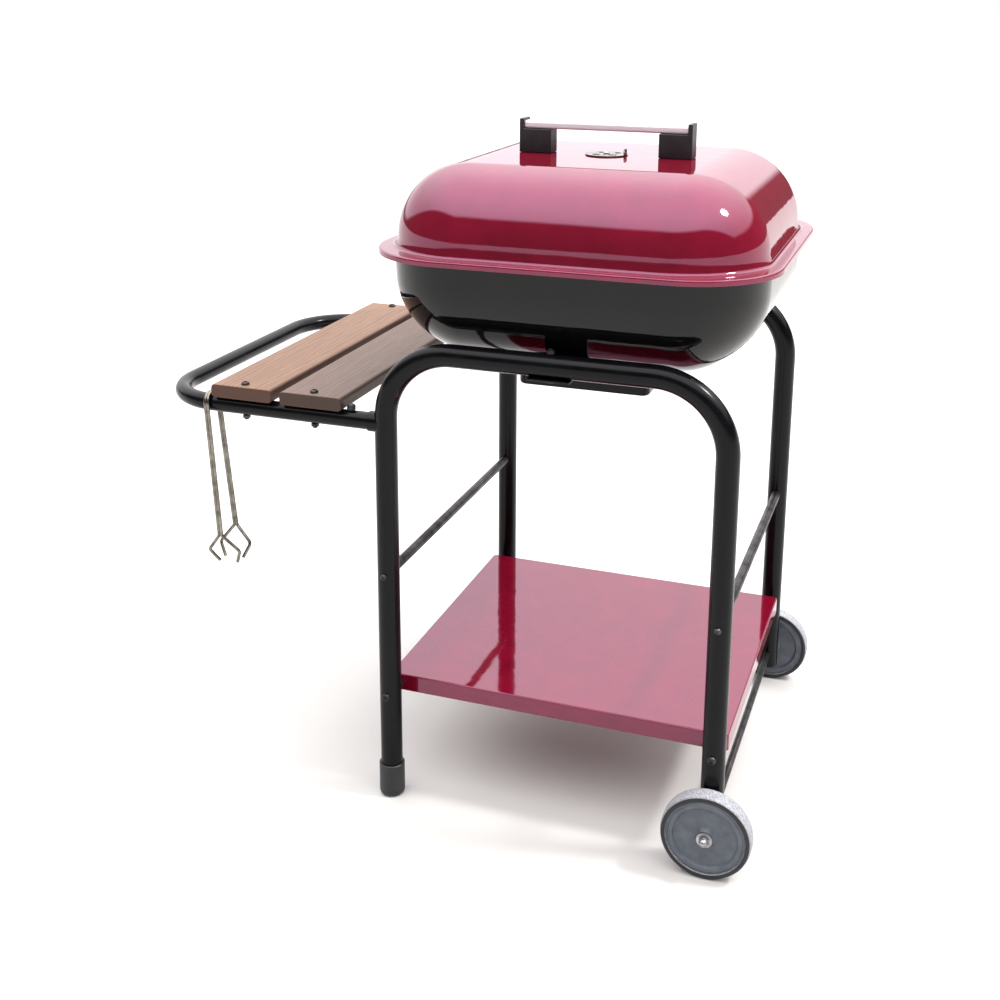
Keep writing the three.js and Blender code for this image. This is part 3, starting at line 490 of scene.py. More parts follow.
# Vitreous enamel is a glass coat, so it mirrors sharply over a deep colour. It sags a little in
# the kiln, a soft ripple some 35 mm long, and carries a faint bloom and an orange peel.
def enamel(name, deep, light, ripple, ior, tint):
    material, shader, place = start_material(name, {
        "IOR": ior, "Roughness": 0.05, "Specular Tint": tint})
    bloom = add_node(material, "TexNoise", values={
        "Scale": 1 / 0.045, "Detail": 5, "Roughness": 0.6}, links={"Vector": place})
    waves = add_node(material, "TexNoise", values={
        "Scale": 1 / 0.035, "Detail": 1}, links={"Vector": place})
    peel = add_node(material, "TexNoise", values={
        "Scale": 1 / 0.007, "Detail": 1}, links={"Vector": place})
    slow = add_node(material, "Bump", values={"Strength": 1.0, "Distance": ripple}, links={
        "Height": waves.outputs["Fac"]})
    fine = add_node(material, "Bump", values={"Strength": 0.25, "Distance": 0.00003}, links={
        "Height": peel.outputs["Fac"], "Normal": slow.outputs["Normal"]})
    feed(
        material, shader,
        Base_Color=ramp(material, bloom.outputs["Fac"], [(0.3, deep), (0.7, light)]),
        Normal=fine.outputs["Normal"],
    )
    return material


red_enamel = enamel(
    "cherry_red_vitreous_enamel", colour("#62061b"), colour("#6f0a22"), 0.00016, 1.78,
    (0.95, 0.64, 0.90, 1))

SHEET = 0.0015
lo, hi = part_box("shelf")
shelf = block("folded_shelf_tray", lo, hi)
pick(shelf, "FACE", lambda centre, normal: normal.z < -0.5)
bpy.ops.mesh.delete(type="FACE")
round_edges(shelf, lambda a, b: abs(a.z - b.z) > 0.01, 0.006, 4)
round_edges(shelf, lambda a, b: min(a.z, b.z) > hi.z - 1e-5, 0.0022, 3)
apply_modifier(shelf, "SOLIDIFY", thickness=SHEET, offset=-1)
ease(shelf, 0.0004, angle=60)
smooth(shelf)
finish(shelf, "trolley", "red_enamel", red_enamel, "shelf")

SLEEVE_R, SLEEVE_BORE = 0.007, 0.0036
NUT_FROM_TIP = 0.002


def bolt_and_nut(name, crown, tip):
    """A button-headed bolt, with its nut a little way up from the tip."""
    axis = (crown - tip).normalized()
    bolt = button_screw("bolt", crown, tip)
    nut = hexagon("nut", tip + axis * NUT_FROM_TIP, axis, 0.010, 0.005)
    fixing = joined(name, bolt, nut)
    smooth(fixing)
    return fixing


for side, way in SIDES.items():
    for hand in HANDS:
        lo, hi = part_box(f"shelf_spacer_{side}_{hand}")
        at = Vector(((lo.x + hi.x) / 2, 0, (lo.z + hi.z) / 2))
        sleeve = spun(f"{side}_{hand}_shelf_sleeve", [
            (SLEEVE_BORE, lo.y), (SLEEVE_R, lo.y), (SLEEVE_R, hi.y), (SLEEVE_BORE, hi.y)],
            at, Y, steps=32, bevel=0.0006)
        finish(sleeve, "trolley", "black_plastic", black_plastic, f"shelf_spacer_{side}_{hand}")
        lo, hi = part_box(f"shelf_bolt_{side}_{hand}")
        tip, crown = (lo.y, hi.y) if way > 0 else (hi.y, lo.y)
        fixing = bolt_and_nut(f"{side}_{hand}_shelf_bolt_and_nut", at + Y * crown, at + Y * tip)
        finish(fixing, "trolley", "zinc", dull_zinc, f"shelf_bolt_{side}_{hand}")


# ---- kettle bowl -----------------------------------------------------------------------------
# Pressed from 1.5 mm steel sheet: a flat bottom, deep rounded sides and a narrow flange that the
# lid sits over. Black vitreous enamel, with four draught holes in the bottom and four ledges
# inside for the cooking grate.

KETTLE_CORNER = 0.129
CORNER_TAPER = 1.19
LEAST_CORNER = 0.015
CORNER_STEPS = 14
CURVE_STEPS = 22
lid_lo, lid_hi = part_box("lid")
bowl_lo, bowl_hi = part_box("bowl")
kettle_at = Vector(((lid_lo.x + lid_hi.x) / 2, (lid_lo.y + lid_hi.y) / 2, 0))
LID_RIM = 0.0182
wall_x = (lid_hi.x - lid_lo.x) / 2 - LID_RIM
wall_y = (lid_hi.y - lid_lo.y) / 2 - LID_RIM


def kettle_corner(inset):
    """The plan's corners tighten as the sides turn in."""
    return min(KETTLE_CORNER, max(KETTLE_CORNER - CORNER_TAPER * inset, LEAST_CORNER))


def rounded_ring(half_x, half_y, corner, z):
    """The points of a rounded rectangle about the kettle's middle."""
    ring = []
    for quarter, (sx, sy) in enumerate([(1, 1), (-1, 1), (-1, -1), (1, -1)]):
        for i in range(CORNER_STEPS + 1):
            turn = (quarter + i / CORNER_STEPS) * math.pi / 2
            ring.append(kettle_at + Vector((
                sx * (half_x - corner) + corner * math.cos(turn),
                sy * (half_y - corner) + corner * math.sin(turn), z)))
    return ring


def pressed(name, profile):
    """Draws a sheet from its flat middle out to its edge, one ring for each (inset, height)."""
    rings = [rounded_ring(wall_x - inset, wall_y - inset, kettle_corner(inset), z)
             for inset, z in profile]
    count = len(rings[0])
    only()
    bpy.ops.mesh.primitive_circle_add(vertices=count, fill_type="NGON")
    shell = bpy.context.object
    shell.name = name
    for vertex, point in zip(shell.data.vertices, rings[0]):
        vertex.co = point
    for ring in rings[1:]:
        bpy.ops.object.mode_set(mode="EDIT")
        bpy.ops.mesh.extrude_edges_move()
        bpy.ops.object.mode_set(mode="OBJECT")
        fresh = [v for v in shell.data.vertices if v.select]
        for vertex, point in zip(fresh, ring):
            vertex.co = point
        shell.data.update()
    return shell


def quarter_curve(flat_z, up, reach, sweep, draft):
    """A pressing's side from its flat middle out to its wall: a quarter of an ellipse."""
    turns = [math.pi / 2 * (1 - i / CURVE_STEPS) for i in range(CURVE_STEPS + 1)]
    return [(draft + reach * (1 - math.cos(t)), flat_z - up * sweep * (1 - math.sin(t)))
            for t in turns]


def drilled(piece, holes, depth=0.02):
    """Cuts round holes through a sheet: each is (centre, radius), drilled along Z."""
    for centre, r in holes:
        only()
        bpy.ops.mesh.primitive_cylinder_add(vertices=32, radius=r, depth=depth, location=centre)
        drill = bpy.context.object
        apply_modifier(piece, "BOOLEAN", operation="DIFFERENCE", object=drill, solver="EXACT")
        bpy.data.objects.remove(drill)


black_enamel = enamel(
    "black_vitreous_enamel", colour("#070708"), colour("#0b0b0c"), 0.00035, 1.36, grey(1))

BOWL_REACH, BOWL_SWEEP, BOWL_DRAFT = 0.153, 0.118, 0.0016
BOWL_RIM = 0.0157
under = bowl_hi.z - SHEET
bowl = pressed("pressed_bowl", [
    *quarter_curve(bowl_lo.z, -1, BOWL_REACH, BOWL_SWEEP, BOWL_DRAFT),
    (0.0004, under - 0.012), (0, under - 0.004), (-0.0005, under - 0.0016),
    (-0.0018, under - 0.0004), (-0.0038, under), (-BOWL_RIM + 0.001, under), (-BOWL_RIM, under),
])


def walled(shell):
    """Turns a drawn sheet's skin outwards and gives it its thickness inwards."""
    only(shell)
    bpy.ops.object.mode_set(mode="EDIT")
    face_out()
    apply_modifier(shell, "SOLIDIFY", thickness=SHEET, offset=-1)


walled(bowl)
VENT_X, VENT_Y, VENT_R = 0.064, 0.038, 0.009
drilled(bowl, [
    (Vector((kettle_at.x + sx * VENT_X, kettle_at.y + sy * VENT_Y, bowl_lo.z)), VENT_R)
    for sx in (-1, 1) for sy in (-1, 1)])
grate_lo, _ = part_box("cooking_grate")
LEDGE, LEDGE_REACH, LEDGE_T, LEDGE_INSET = 0.044, 0.016, 0.003, 0.0145
ledge_top = grate_lo.z - 0.0003
ledges = []
for along, across, reach in ((X, Y, wall_x - LEDGE_INSET), (Y, X, wall_y - LEDGE_INSET)):
    for way in (-1, 1):
        at = kettle_at + along * way * reach + Z * (ledge_top - LEDGE_T / 2)
        size = along * LEDGE_REACH + across * LEDGE + Z * LEDGE_T
        ledges.append(block("ledge", at - size / 2, at + size / 2))
bowl = joined("pressed_bowl", bowl, *ledges)
smooth(bowl, 40)
finish(bowl, "trolley", "black_enamel", black_enamel, "bowl")


# ---- cradle strap ----------------------------------------------------------------------------
# A 60 by 3 mm steel strap, powder coated. It dips under the bowl's flat bottom and is bolted up
# to both top bars, with a hexagon nut showing on top of each bar.

def strip(name, start, width_along, width, moves, thickness):
    """Extrudes the end of a narrow sheet by each move in turn, then gives it its thickness."""
    only()
    bpy.ops.mesh.primitive_plane_add(size=1)
    sheet = bpy.context.object
    sheet.name = name
    side = width_along * width / 2
    first = start + moves[0]
    for vertex, point in zip(sheet.data.vertices, (
            start - side, start + side, first - side, first + side)):
        vertex.co = point
    end = first
    for move in moves[1:]:
        pick(sheet, "EDGE", lambda a, b: ((a + b) / 2 - end).length < 1e-5)
        bpy.ops.mesh.extrude_edges_move(TRANSFORM_OT_translate={"value": move})
        end = end + move
    bpy.ops.object.mode_set(mode="EDIT")
    face_out()
    up = sum((face.normal * face.area for face in sheet.data.polygons), Vector())
    if up.z < 0:
        sheet.data.flip_normals()
    apply_modifier(sheet, "SOLIDIFY", thickness=thickness, offset=-1)
    return sheet


STRAP_T, KNEE_OUT, KNEE_IN = 0.003, 0.080, 0.134
lo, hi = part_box("cradle_strap")
dip = hi.z - bowl_lo.z + 0.0003
knee_out_y = hi.y - KNEE_OUT
knee_in_y = hi.y - KNEE_IN
strap = strip(
    "cradle_strap_bar", Vector(((lo.x + hi.x) / 2, lo.y, hi.z)), X, hi.x - lo.x, [
        Y * (-knee_out_y - lo.y), Vector((0, knee_out_y - knee_in_y, -dip)), Y * knee_in_y * 2,
        Vector((0, knee_out_y - knee_in_y, dip)), Y * (hi.y - knee_out_y)], STRAP_T)
ease(strap, 0.0008)
smooth(strap)
finish(strap, "trolley", "black_paint", powder_coat, "cradle_strap")



def upright(node):
    """The bottom and the top of a node's upright middle line."""
    lo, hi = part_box(node)
    at = Vector(((lo.x + hi.x) / 2, (lo.y + hi.y) / 2, 0))
    return at + Z * lo.z, at + Z * hi.z


for side in SIDES:
    low, high = upright(f"bar_bolt_{side}")
    fixing = bolt_and_nut(f"{side}_bar_bolt_and_nut", low, high)
    finish(fixing, "trolley", "zinc", dull_zinc, f"bar_bolt_{side}")
    low, high = upright(f"bowl_bolt_{side}")
    fixing = bolt_and_nut(f"{side}_bowl_bolt_and_nut", high, low)
    finish(fixing, "trolley", "zinc", zinc, f"bowl_bolt_{side}")


# ---- grates ----------------------------------------------------------------------------------
# Round steel rods welded inside a bent rim, with one rod across the middle underneath. The
# cooking grate is chrome plated. The charcoal grate is zinc plated, with fewer, thicker rods.

# Nickel-chrome plate is a little yellow. It hazes in patches some 12 mm across, and keeps a grain
# about 1 mm long from the drawing of the wire.
chrome = patchy(
    "nickel_chrome_plate", {"Metallic": 1.0},
    {"Scale": 1 / 0.012, "Detail": 5, "Roughness": 0.6},
    [(0.3, colour("#57534c")), (0.7, colour("#938e84"))], [(0.3, 0.30), (0.7, 0.16)],
    {"Scale": 1 / 0.0009, "Detail": 2}, {"Strength": 0.2, "Distance": 0.00003})


def rod_grate(name, node, rim_r, rod_r, count):
    """A rim bent to the kettle's plan, rods along Y from side to side, and one across."""
    lo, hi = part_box(node)
    half_x, half_y = (hi.x - lo.x) / 2, (hi.y - lo.y) / 2
    corner = kettle_corner(wall_x - half_x)
    rim_z = lo.z + rim_r
    cx, cy = half_x - rim_r, half_y - rim_r
    bend = corner - rim_r
    start = kettle_at + Vector((0, -cy, rim_z))
    corners = [kettle_at + Vector((sx * cx, sy * cy, rim_z))
               for sx, sy in ((1, -1), (1, 1), (-1, 1), (-1, -1))]
    parts = [bent_tube(name, [start, *corners, start], [bend] * 4, rim_r, sides=16, steps=12)]
    rod_z = hi.z - rod_r
    for i in range(count):
        x = -cx + (i + 0.5) * 2 * cx / count
        past = max(abs(x) - (cx - bend), 0)
        reach = cy - bend + math.sqrt(max(bend * bend - past * past, 0))
        parts.append(spun("rod", [
            (0, -reach), (rod_r, -reach), (rod_r, reach), (0, reach)],
            kettle_at + Vector((x, 0, rod_z)), Y, steps=12))
    parts.append(spun("cross_rod", [
        (0, -cx), (rod_r, -cx), (rod_r, cx), (0, cx)],
        kettle_at + Z * (lo.z + rod_r), X, steps=12))
    grate = joined(name, *parts)
    smooth(grate)
    return grate


GRATE_RIM_R = 0.0025
cooking = rod_grate("cooking_rod_grate", "cooking_grate", GRATE_RIM_R, 0.0018, 30)
finish(cooking, "cooking_grate", "chrome", chrome, "cooking_grate")
charcoal = rod_grate("charcoal_rod_grate", "charcoal_grate", GRATE_RIM_R, 0.0023, 15)
finish(charcoal, "charcoal_grate", "zinc", zinc, "charcoal_grate")


# ---- ash pan ---------------------------------------------------------------------------------
# A shallow black tray of folded and welded sheet. Its side lips slide in two folded rails under
# the bowl, and a tongue at the front pulls it out.

PAN_SHEET, PAN_LIP, PAN_CORNER, PULL_L, PULL_HALF = 0.0012, 0.008, 0.012, 0.014, 0.030
LIP_LAP = PAN_SHEET * 0.9
lo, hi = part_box("ash_pan")
pan_lo = Vector((lo.x + PAN_LIP, lo.y + PULL_L, lo.z))
pan_hi = Vector((hi.x - PAN_LIP, hi.y, hi.z))
pan = block("ash_tray", pan_lo, pan_hi)
pick(pan, "FACE", lambda centre, normal: normal.z > 0.5)
bpy.ops.mesh.delete(type="FACE")
round_edges(pan, lambda a, b: abs(a.z - b.z) > 0.01, PAN_CORNER, 6)
round_edges(pan, lambda a, b: max(a.z, b.z) < lo.z + 1e-5, 0.004, 4)
apply_modifier(pan, "SOLIDIFY", thickness=PAN_SHEET, offset=-1)
lips = []
for lip_lo, lip_hi in (
        ((lo.x, pan_lo.y + PAN_CORNER), (pan_lo.x + LIP_LAP, pan_hi.y - PAN_CORNER)),
        ((pan_hi.x - LIP_LAP, pan_lo.y + PAN_CORNER), (hi.x, pan_hi.y - PAN_CORNER)),
        ((kettle_at.x - PULL_HALF, lo.y), (kettle_at.x + PULL_HALF, pan_lo.y + LIP_LAP))):
    lip = block("lip", Vector((*lip_lo, hi.z - PAN_SHEET)), Vector((*lip_hi, hi.z)))
    ease(lip, 0.0005, angle=30)
    lips.append(lip)
pan = joined("ash_tray", pan, *lips)
smooth(pan)
finish(pan, "ash_pan", "black_paint", powder_coat, "ash_pan")

RAIL_T, RAIL_FOOT = 0.0015, 0.0085
for hand, way in HANDS.items():
    lo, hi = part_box(f"ash_rail_{hand}")
    outer = hi.x if way > 0 else lo.x
    start = Vector((outer - way * (hi.x - lo.x), (lo.y + hi.y) / 2, hi.z))
    rail = strip(f"{hand}_ash_rail_channel", start, Y, hi.y - lo.y, [
        X * way * (hi.x - lo.x), Z * (lo.z - hi.z), -X * way * (RAIL_FOOT + RAIL_T)], RAIL_T)
    smooth(rail)
    finish(rail, "trolley", "black_paint", powder_coat, f"ash_rail_{hand}")


# ---- lid -------------------------------------------------------------------------------------
# Drawn from one steel sheet like the bowl, with a flange turned down over the bowl's, and red
# enamelled. Four draught holes stand about the middle of its top, round the damper's rivet.

LID_REACH, LID_SWEEP, LID_DRAFT = 0.109, 0.104, 0.0036
LIP = 0.0079
rim_z = lid_lo.z + LIP
lid = pressed("pressed_lid", [
    *quarter_curve(lid_hi.z, 1, LID_REACH, LID_SWEEP, LID_DRAFT),
    (0.0026, rim_z + 0.0085), (0.0018, rim_z + 0.0042), (0.0004, rim_z + 0.0018),
    (-0.0016, rim_z + 0.0005), (-0.0042, rim_z), (-0.0100, rim_z), (0.0024 - LID_RIM, rim_z),
    (0.0010 - LID_RIM, rim_z - 0.0004), (0.0002 - LID_RIM, rim_z - 0.0013),
    (-LID_RIM, rim_z - 0.0028), (-LID_RIM, rim_z - LIP),
])
walled(lid)
DAMPER_HOLE_R, DAMPER_HOLE_AT, RIVET_HOLE_R = 0.0065, 0.018, 0.0028


def hole_ring(offset, z):
    """Four draught holes about the lid's middle, turned by `offset` of the pitch."""
    turns = [(i + offset) * math.pi / 2 for i in range(4)]
    return [(kettle_at + Vector((
        DAMPER_HOLE_AT * math.cos(t), DAMPER_HOLE_AT * math.sin(t), z)), DAMPER_HOLE_R)
        for t in turns]


drilled(lid, [*hole_ring(0, lid_hi.z), (kettle_at + Z * lid_hi.z, RIVET_HOLE_R)])
ease(lid, 0.0004, angle=60)
smooth(lid, 40)
finish(lid, "lid", "red_enamel", red_enamel, "lid")


# ---- lid damper ------------------------------------------------------------------------------
# A chrome-plated disc that turns on a rivet in the middle of the lid. Its four holes uncover the
# lid's, and a tab stands up at its edge.

lo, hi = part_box("lid_damper")
damper_r = (hi.y - lo.y) / 2
DAMPER_T = 0.0015
damper = spun("damper_disc", [
    (RIVET_HOLE_R, lo.z), (damper_r, lo.z), (damper_r, lo.z + DAMPER_T),
    (RIVET_HOLE_R, lo.z + DAMPER_T),
], kettle_at, Z)
drilled(damper, hole_ring(0.5, lo.z))
tab = block(
    "tab", kettle_at + Vector((damper_r - 0.004, -0.006, lo.z + DAMPER_T * 0.5)),
    kettle_at + Vector((damper_r - 0.002, 0.006, hi.z)))
round_edges(
    tab, lambda a, b: min(a.z, b.z) > hi.z - 1e-5 and abs(a.y - b.y) < 1e-5, 0.0035, 5)
damper = joined("damper_disc", damper, tab)
ease(damper, 0.0003)
smooth(damper)
finish(damper, "lid_damper", "chrome", chrome, "lid_damper")

lo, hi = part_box("damper_rivet")
head = lid_hi.z + 0.0021
rivet = spun("damper_rivet_pin", [
    (0, lo.z), (0.0036, lo.z), (0.0040, lo.z + 0.0012), (0.0040, lo.z + 0.0015),
    (0.0025, lo.z + 0.0015), (0.0025, head), (0.0050, head), (0.0047, head + 0.0010),
    (0.0036, hi.z - 0.0002), (0.0020, hi.z), (0, hi.z)], kettle_at, Z, steps=32)
finish(rivet, "lid", "zinc", zinc, "damper_rivet")


# ---- lid handle ------------------------------------------------------------------------------
# Two black moulded posts, each with a plate that covers one end of a brushed aluminium bar. A
# screw from inside the lid passes through each post into the bar.

def profiled(name, outline, push):
    """Pushes a flat outline straight through, into a moulded block."""
    only()
    bpy.ops.mesh.primitive_circle_add(vertices=len(outline), fill_type="NGON")
    piece = bpy.context.object
    piece.name = name
    for vertex, point in zip(piece.data.vertices, outline):
        vertex.co = point
    bpy.ops.object.mode_set(mode="EDIT")
    bpy.ops.mesh.select_all(action="SELECT")
    bpy.ops.mesh.extrude_region_move(TRANSFORM_OT_translate={"value": push})
    face_out()
    return piece


bar_lo, bar_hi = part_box("handle_bar")
POST_PLATE = 0.007
post_top = bar_lo.z - 0.0003
for hand, way in HANDS.items():
    lo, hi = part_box(f"handle_post_{hand}")
    outer, inner = (hi.x, lo.x) if way > 0 else (lo.x, hi.x)
    plate = outer - way * POST_PLATE
    post = profiled(f"{hand}_handle_post", [Vector((x, lo.y, z)) for x, z in (
        (inner, lo.z), (outer, lo.z), (outer, hi.z), (plate, hi.z), (plate, post_top),
        (inner, post_top))], Y * (hi.y - lo.y))
    ease(post, 0.0012, segments=3)
    smooth(post)
    finish(post, "lid", "black_plastic", black_plastic, f"handle_post_{hand}")

# Extruded aluminium, brushed along the bar: grain 0.5 mm across and some 40 mm long.
aluminium, shader, place = start_material("brushed_aluminium", {"Metallic": 0.5})
stretch = add_node(aluminium, "Mapping", values={"Scale": (1 / 0.040, 1 / 0.0005, 1 / 0.0005)},
                   links={"Vector": place})
brushed = add_node(aluminium, "TexNoise", values={"Scale": 1, "Detail": 3}, links={
    "Vector": stretch.outputs["Vector"]})
bump = add_node(aluminium, "Bump", values={
    "Strength": 0.35, "Distance": 0.00003}, links={"Height": brushed.outputs["Fac"]})
feed(
    aluminium, shader,
    Base_Color=ramp(aluminium, brushed.outputs["Fac"], [
        (0.3, colour("#dad6dc")), (0.7, colour("#eeebf0"))]),
    Roughness=ramp(aluminium, brushed.outputs["Fac"], [(0.3, grey(0.55)), (0.7, grey(0.66))]),
    Normal=bump.outputs["Normal"],
)
bar = block("handle_grip_bar", bar_lo, bar_hi)
round_edges(bar, lambda a, b: abs(a.x - b.x) > 0.1, 0.0035, 5)
ease(bar, 0.0004)
smooth(bar)
finish(bar, "lid", "aluminium", aluminium, "handle_bar")

for hand in HANDS:
    low, high = upright(f"handle_screw_{hand}")
    screw = button_screw(f"{hand}_handle_screw", low, high)
    finish(screw, "lid", "zinc", zinc, f"handle_screw_{hand}")


# ---- side table ------------------------------------------------------------------------------
# A U of 25 mm tube plugs on to a spigot and collar at each left leg, and a thumb screw holds each
# arm. Two planks of stained pine lie across the arms, each bolted down at both ends.

lo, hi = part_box("table_frame")
arm_r = (hi.z - lo.z) / 2
arm_y, arm_z = hi.y - arm_r, (lo.z + hi.z) / 2
TABLE_BEND = 0.095
table = bent_tube(
    "table_tube",
    [(hi.x, -arm_y, arm_z), (lo.x + arm_r, -arm_y, arm_z), (lo.x + arm_r, arm_y, arm_z),
     (hi.x, arm_y, arm_z)],
    [TABLE_BEND, TABLE_BEND], arm_r, wall=TUBE_WALL)
SCREW_HOLE_R = 0.0034
for side, way in SIDES.items():
    lo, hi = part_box(f"thumb_screw_{side}")
    drilled(table, [(Vector(((lo.x + hi.x) / 2, way * arm_y, arm_z + arm_r)), SCREW_HOLE_R)])
smooth(table)
finish(table, "trolley", "black_paint", powder_coat, "table_frame")

SPIGOT_R = arm_r - 0.0018
THUMB_HOLE_DEPTH = 0.034
for side, way in SIDES.items():
    lo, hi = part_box(f"table_stub_{side}")
    r = (hi.z - lo.z) / 2
    leg_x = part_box(f"frame_{side}")[0].x + tube_r
    collar_x = table.bound_box[4][0] + 0.0003
    stub = spun(f"{side}_table_spigot", [
        (0, lo.x), (SPIGOT_R - 0.001, lo.x), (SPIGOT_R, lo.x + 0.001), (SPIGOT_R, collar_x),
        (r - 0.0008, collar_x), (r, collar_x + 0.0008), (r, leg_x), (0, leg_x),
    ], Vector((0, way * arm_y, arm_z)), X, steps=48)
    only()
    bpy.ops.mesh.primitive_cylinder_add(
        vertices=96, radius=tube_r + 0.0003, depth=0.1, location=(leg_x, way * arm_y, arm_z))
    cope = bpy.context.object
    apply_modifier(stub, "BOOLEAN", operation="DIFFERENCE", object=cope, solver="EXACT")
    bpy.data.objects.remove(cope)
    lo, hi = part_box(f"thumb_screw_{side}")
    drilled(stub, [(Vector(((lo.x + hi.x) / 2, way * arm_y, arm_z + arm_r)), SCREW_HOLE_R)],
            THUMB_HOLE_DEPTH)
    smooth(stub)
    finish(stub, "trolley", "black_paint", powder_coat, f"table_stub_{side}")

    r = (hi.x - lo.x) / 2
    foot = Vector(((lo.x + hi.x) / 2, (lo.y + hi.y) / 2, arm_z + arm_r + 0.0003))
    h = hi.z - foot.z
    low = lo.z - foot.z
    knob = spun(f"{side}_thumb_screw_knob", [
        (0, low), (0.0022, low), (0.003, low + 0.001), (0.003, 0), (r - 0.0012, 0), (r, 0.0016),
        (r, h - 0.0026), (r - 0.0006, h - 0.0012), (r - 0.0020, h), (0, h)], foot, Z, steps=48)
    finish(knob, f"thumb_screw_{side}", "black_plastic", black_plastic, f"thumb_screw_{side}")


def timber(name, light, dark, edge, seed):
    """Oiled softwood, its grain along Y. The sides and rounded edges are painted darker than the
    top, as painted shade.
    """
    material, shader, place = start_material(name, {"IOR": 1.5})
    shift = add_node(material, "Mapping", values={
        "Location": seed, "Scale": (1, 0.06, 1)}, links={"Vector": place})
    # growth rings 7 to 14 mm apart, drawn out along the plank and wandering slowly
    wander = add_node(material, "TexNoise", values={
        "Scale": 1 / 0.05, "Detail": 3}, links={"Vector": shift.outputs["Vector"]})
    rings = add_node(material, "TexWave", {"bands_direction": "X"}, {
        "Scale": 1 / 0.045, "Distortion": 6.0, "Detail": 3, "Detail Scale": 1.4,
        "Detail Roughness": 0.6}, {"Vector": shift.outputs["Vector"]})
    fibre_at = add_node(material, "Mapping", values={
        "Location": seed, "Scale": (1 / 0.0011, 1 / 0.050, 1 / 0.0011)}, links={"Vector": place})
    fibre = add_node(material, "TexNoise", values={"Scale": 1, "Detail": 4, "Roughness": 0.6},
                     links={"Vector": fibre_at.outputs["Vector"]})
    weight = add_node(material, "Math", {"operation": "MULTIPLY_ADD"}, {1: 0.45}, {
        0: rings.outputs["Fac"], 2: add_node(
            material, "Math", {"operation": "MULTIPLY"}, {1: 0.6},
            {0: fibre.outputs["Fac"]}).outputs[0]})
    face = ramp(material, weight.outputs[0], [(0.22, dark), (0.50, light), (0.85, dark)])
    facing = add_node(material, "SeparateXYZ", links={
        "Vector": material.node_tree.nodes["Texture Coordinate"].outputs["Normal"]})
    # painted shade: every face that does not point up is mixed towards the darker edge colour, as
    # if its sides were shaded from the light above
    top_lit_mask = add_node(material, "MapRange", {"interpolation_type": "SMOOTHSTEP"}, {
        "From Min": 0.55, "From Max": 0.98}, {"Value": facing.outputs["Z"]})
    painted_side_shade = add_node(material, "Mix", {"data_type": "RGBA"}, {"A": edge}, {
        "Factor": top_lit_mask.outputs["Result"], "B": face})
    blotch = add_node(material, "Mix", {"data_type": "RGBA", "blend_type": "MULTIPLY"}, {
        "Factor": 0.35}, {"A": painted_side_shade.outputs["Result"], "B": ramp(
            material, wander.outputs["Fac"], [(0.3, grey(0.55)), (0.65, grey(1.0))])})
    bump = add_node(material, "Bump", values={
        "Strength": 0.5, "Distance": 0.0002}, links={"Height": fibre.outputs["Fac"]})
    feed(
        material, shader, Base_Color=blotch.outputs["Result"],
        Roughness=ramp(material, fibre.outputs["Fac"], [(0.3, grey(0.48)), (0.7, grey(0.62))]),
        Normal=bump.outputs["Normal"],
    )
    return material


# the third colour of each plank is painted shade for its sides and rounded edges
planks = {
    "outer": timber("warm_stained_pine", colour("#8c6748"), colour("#5f412c"),
                    colour("#4a2c1c"), (0.31, 0.7, 0.12)),
    "inner": timber("cool_stained_pine", colour("#6f5644"), colour("#4e3a2c"),
                    colour("#3d261a"), (0.83, 0.2, 0.55)),
}
for row, wood in planks.items():
    lo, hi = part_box(f"slat_{row}")
    slat = block(f"{row}_table_plank", lo, hi)
    round_edges(slat, lambda a, b: abs(a.y - b.y) > 0.1, 0.006, 6)
    ease(slat, 0.0018, segments=3)
    smooth(slat)
    finish(slat, "trolley", "wood", wood, f"slat_{row}")

    for side in SIDES:
        low, high = upright(f"slat_bolt_{side}_{row}")
        fixing = bolt_and_nut(f"{side}_{row}_plank_bolt_and_nut", high, low)
        finish(fixing, "trolley", "zinc", dull_zinc, f"slat_bolt_{side}_{row}")


# ---- tongs -----------------------------------------------------------------------------------
# Two 5 mm nickelled wires, welded side by side and bent over the front arm. Both ends part into
# a pair of claws.

WIRE_R, TONGS_LEAN, TONGS_X = 0.0025, 4.5, -0.3585
CLAW_BEND, HOOK_BEND = 0.007, 0.016
wires = []
for s in (-1, 1):
    x = s * WIRE_R * 0.84
    # (x, reach from the arm's middle, z) from a claw's tip up to the top of the hook
    half = [(s * 0.0151, 0.008, -0.246), (s * 0.026, 0.016, -0.2258), (x, 0.022, -0.200),
            (x, 0.016, 0.016)]
    corners = [Vector((px, -py, pz)) for px, py, pz in half] + [
        Vector((px, py, pz)) for px, py, pz in reversed(half)]
    bends = [CLAW_BEND, CLAW_BEND, HOOK_BEND, HOOK_BEND, CLAW_BEND, CLAW_BEND]
    wires.append(bent_tube("wire", corners, bends, WIRE_R, sides=20, steps=10))
tongs = joined("hanging_wire_tongs", *wires)
bpy.ops.object.mode_set(mode="EDIT")
bpy.ops.mesh.select_all(action="SELECT")
bpy.ops.transform.rotate(
    value=math.radians(TONGS_LEAN), orient_axis="Y", center_override=(0, 0, 0))
bpy.ops.transform.translate(value=(TONGS_X, -arm_y, arm_z))
bpy.ops.object.mode_set(mode="OBJECT")
smooth(tongs)
finish(tongs, "tongs", "chrome", chrome, "tongs")


# ---- studio ----------------------------------------------------------------------------------
# A plain pale floor under a soft white dome. The dome is bright overhead and behind the object,
# and dark low down on the cook's and wheels' sides, so that gloss shows a clear edge.

only()
bpy.ops.mesh.primitive_circle_add(vertices=64, radius=60, fill_type="NGON")
floor = bpy.context.object
floor.name = "studio_floor"
pale, *_ = start_material("pale_floor", {"Base Color": colour("#c2c1bc"), "Roughness": 0.8})
floor.data.materials.append(pale)

world = bpy.data.worlds.new("soft_dome")
bpy.context.scene.world = world
world.use_nodes = True
backdrop = world.node_tree.nodes["Background"]
parts = add_node(world, "SeparateXYZ", links={
    "Vector": add_node(world, "TexCoord").outputs["Generated"]})
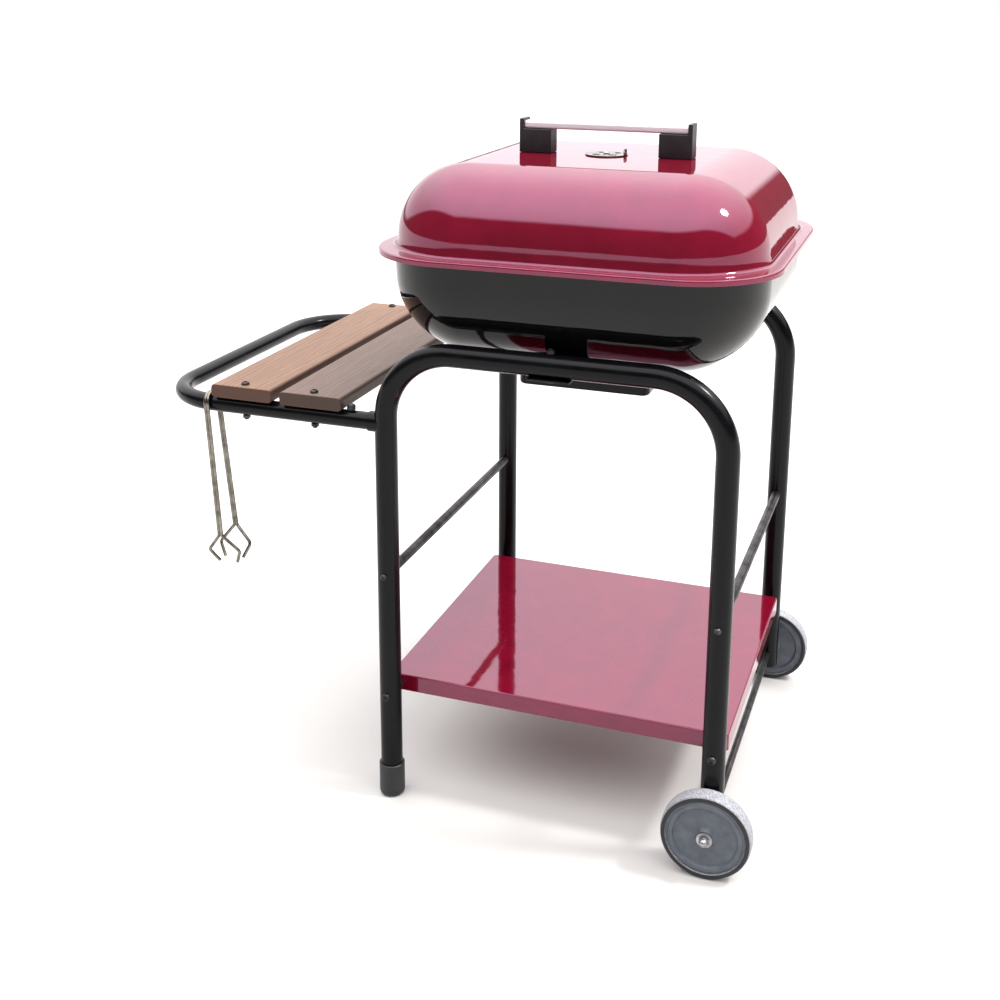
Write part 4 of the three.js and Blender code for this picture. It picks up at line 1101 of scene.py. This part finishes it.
# the dark band stands high on the cook's side and lower on the wheels' side
cook_side = add_node(world, "MapRange", {"interpolation_type": "SMOOTHSTEP"}, {
    "From Min": 0.5, "From Max": -0.6, "To Min": 0.02, "To Max": 0.60}, {
    "Value": parts.outputs["Y"]})
wheel_side = add_node(world, "MapRange", {"interpolation_type": "SMOOTHSTEP"}, {
    "From Min": -0.05, "From Max": 0.35, "To Min": 0.02, "To Max": 0.30}, {
    "Value": parts.outputs["X"]})
edge_height = add_node(world, "Math", {"operation": "MAXIMUM"}, links={
    0: cook_side.outputs["Result"], 1: wheel_side.outputs["Result"]})
over = add_node(world, "Math", {"operation": "SUBTRACT"}, links={
    0: parts.outputs["Z"], 1: edge_height.outputs[0]})
lit = add_node(world, "MapRange", {"interpolation_type": "SMOOTHSTEP"}, {
    "From Min": -0.02, "From Max": 0.06}, {"Value": over.outputs[0]})
# the dome is brightest overhead
overhead = add_node(world, "MapRange", {"interpolation_type": "SMOOTHSTEP"}, {
    "From Min": 0.25, "From Max": 0.95, "To Min": 1.7, "To Max": 3.8}, {
    "Value": parts.outputs["Z"]})
glow = add_node(world, "Mix", {"data_type": "RGBA", "blend_type": "MULTIPLY"}, {
    "Factor": 1.0, "A": (1.0, 0.98, 1.02, 1)}, {"B": overhead.outputs["Result"]})
dome = add_node(world, "Mix", {"data_type": "RGBA"}, {"A": (0.14, 0.13, 0.125, 1)}, {
    "Factor": lit.outputs["Result"], "B": glow.outputs["Result"]})
# the eye sees plain white behind the object, and only reflections see the dome
seen = add_node(world, "LightPath")
shown = add_node(world, "Mix", {"data_type": "RGBA"}, {"B": (1, 1, 1, 1)}, {
    "Factor": seen.outputs["Is Camera Ray"], "A": dome.outputs["Result"]})
world.node_tree.links.new(shown.outputs["Result"], backdrop.inputs["Color"])

lamp = bpy.data.lights.new("key_lamp", "AREA")
lamp.shape = "DISK"
lamp.size = 0.45
lamp.energy = 90
key = bpy.data.objects.new("key_lamp", lamp)
bpy.context.scene.collection.objects.link(key)
key.location = (2.4, 0.2, 3.1)
key.rotation_euler = (Vector((0.1, 0, 0.6)) - key.location).to_track_quat("-Z", "Y").to_euler()

lens = bpy.data.cameras.new("view")
lens.lens = 47.9
lens.shift_x = -0.0017
lens.shift_y = -0.1785
camera = bpy.data.objects.new("view", lens)
bpy.context.scene.collection.objects.link(camera)
camera.location = (0.6659, -1.8717, 1.1771)
aim = Euler((math.radians(90 - 14.175), 0, math.radians(19.597))).to_quaternion()
camera.rotation_mode = "QUATERNION"
camera.rotation_quaternion = aim @ Quaternion(Z, math.radians(0.222))
bpy.context.scene.camera = camera
bpy.context.scene.view_settings.view_transform = "Standard"

only()
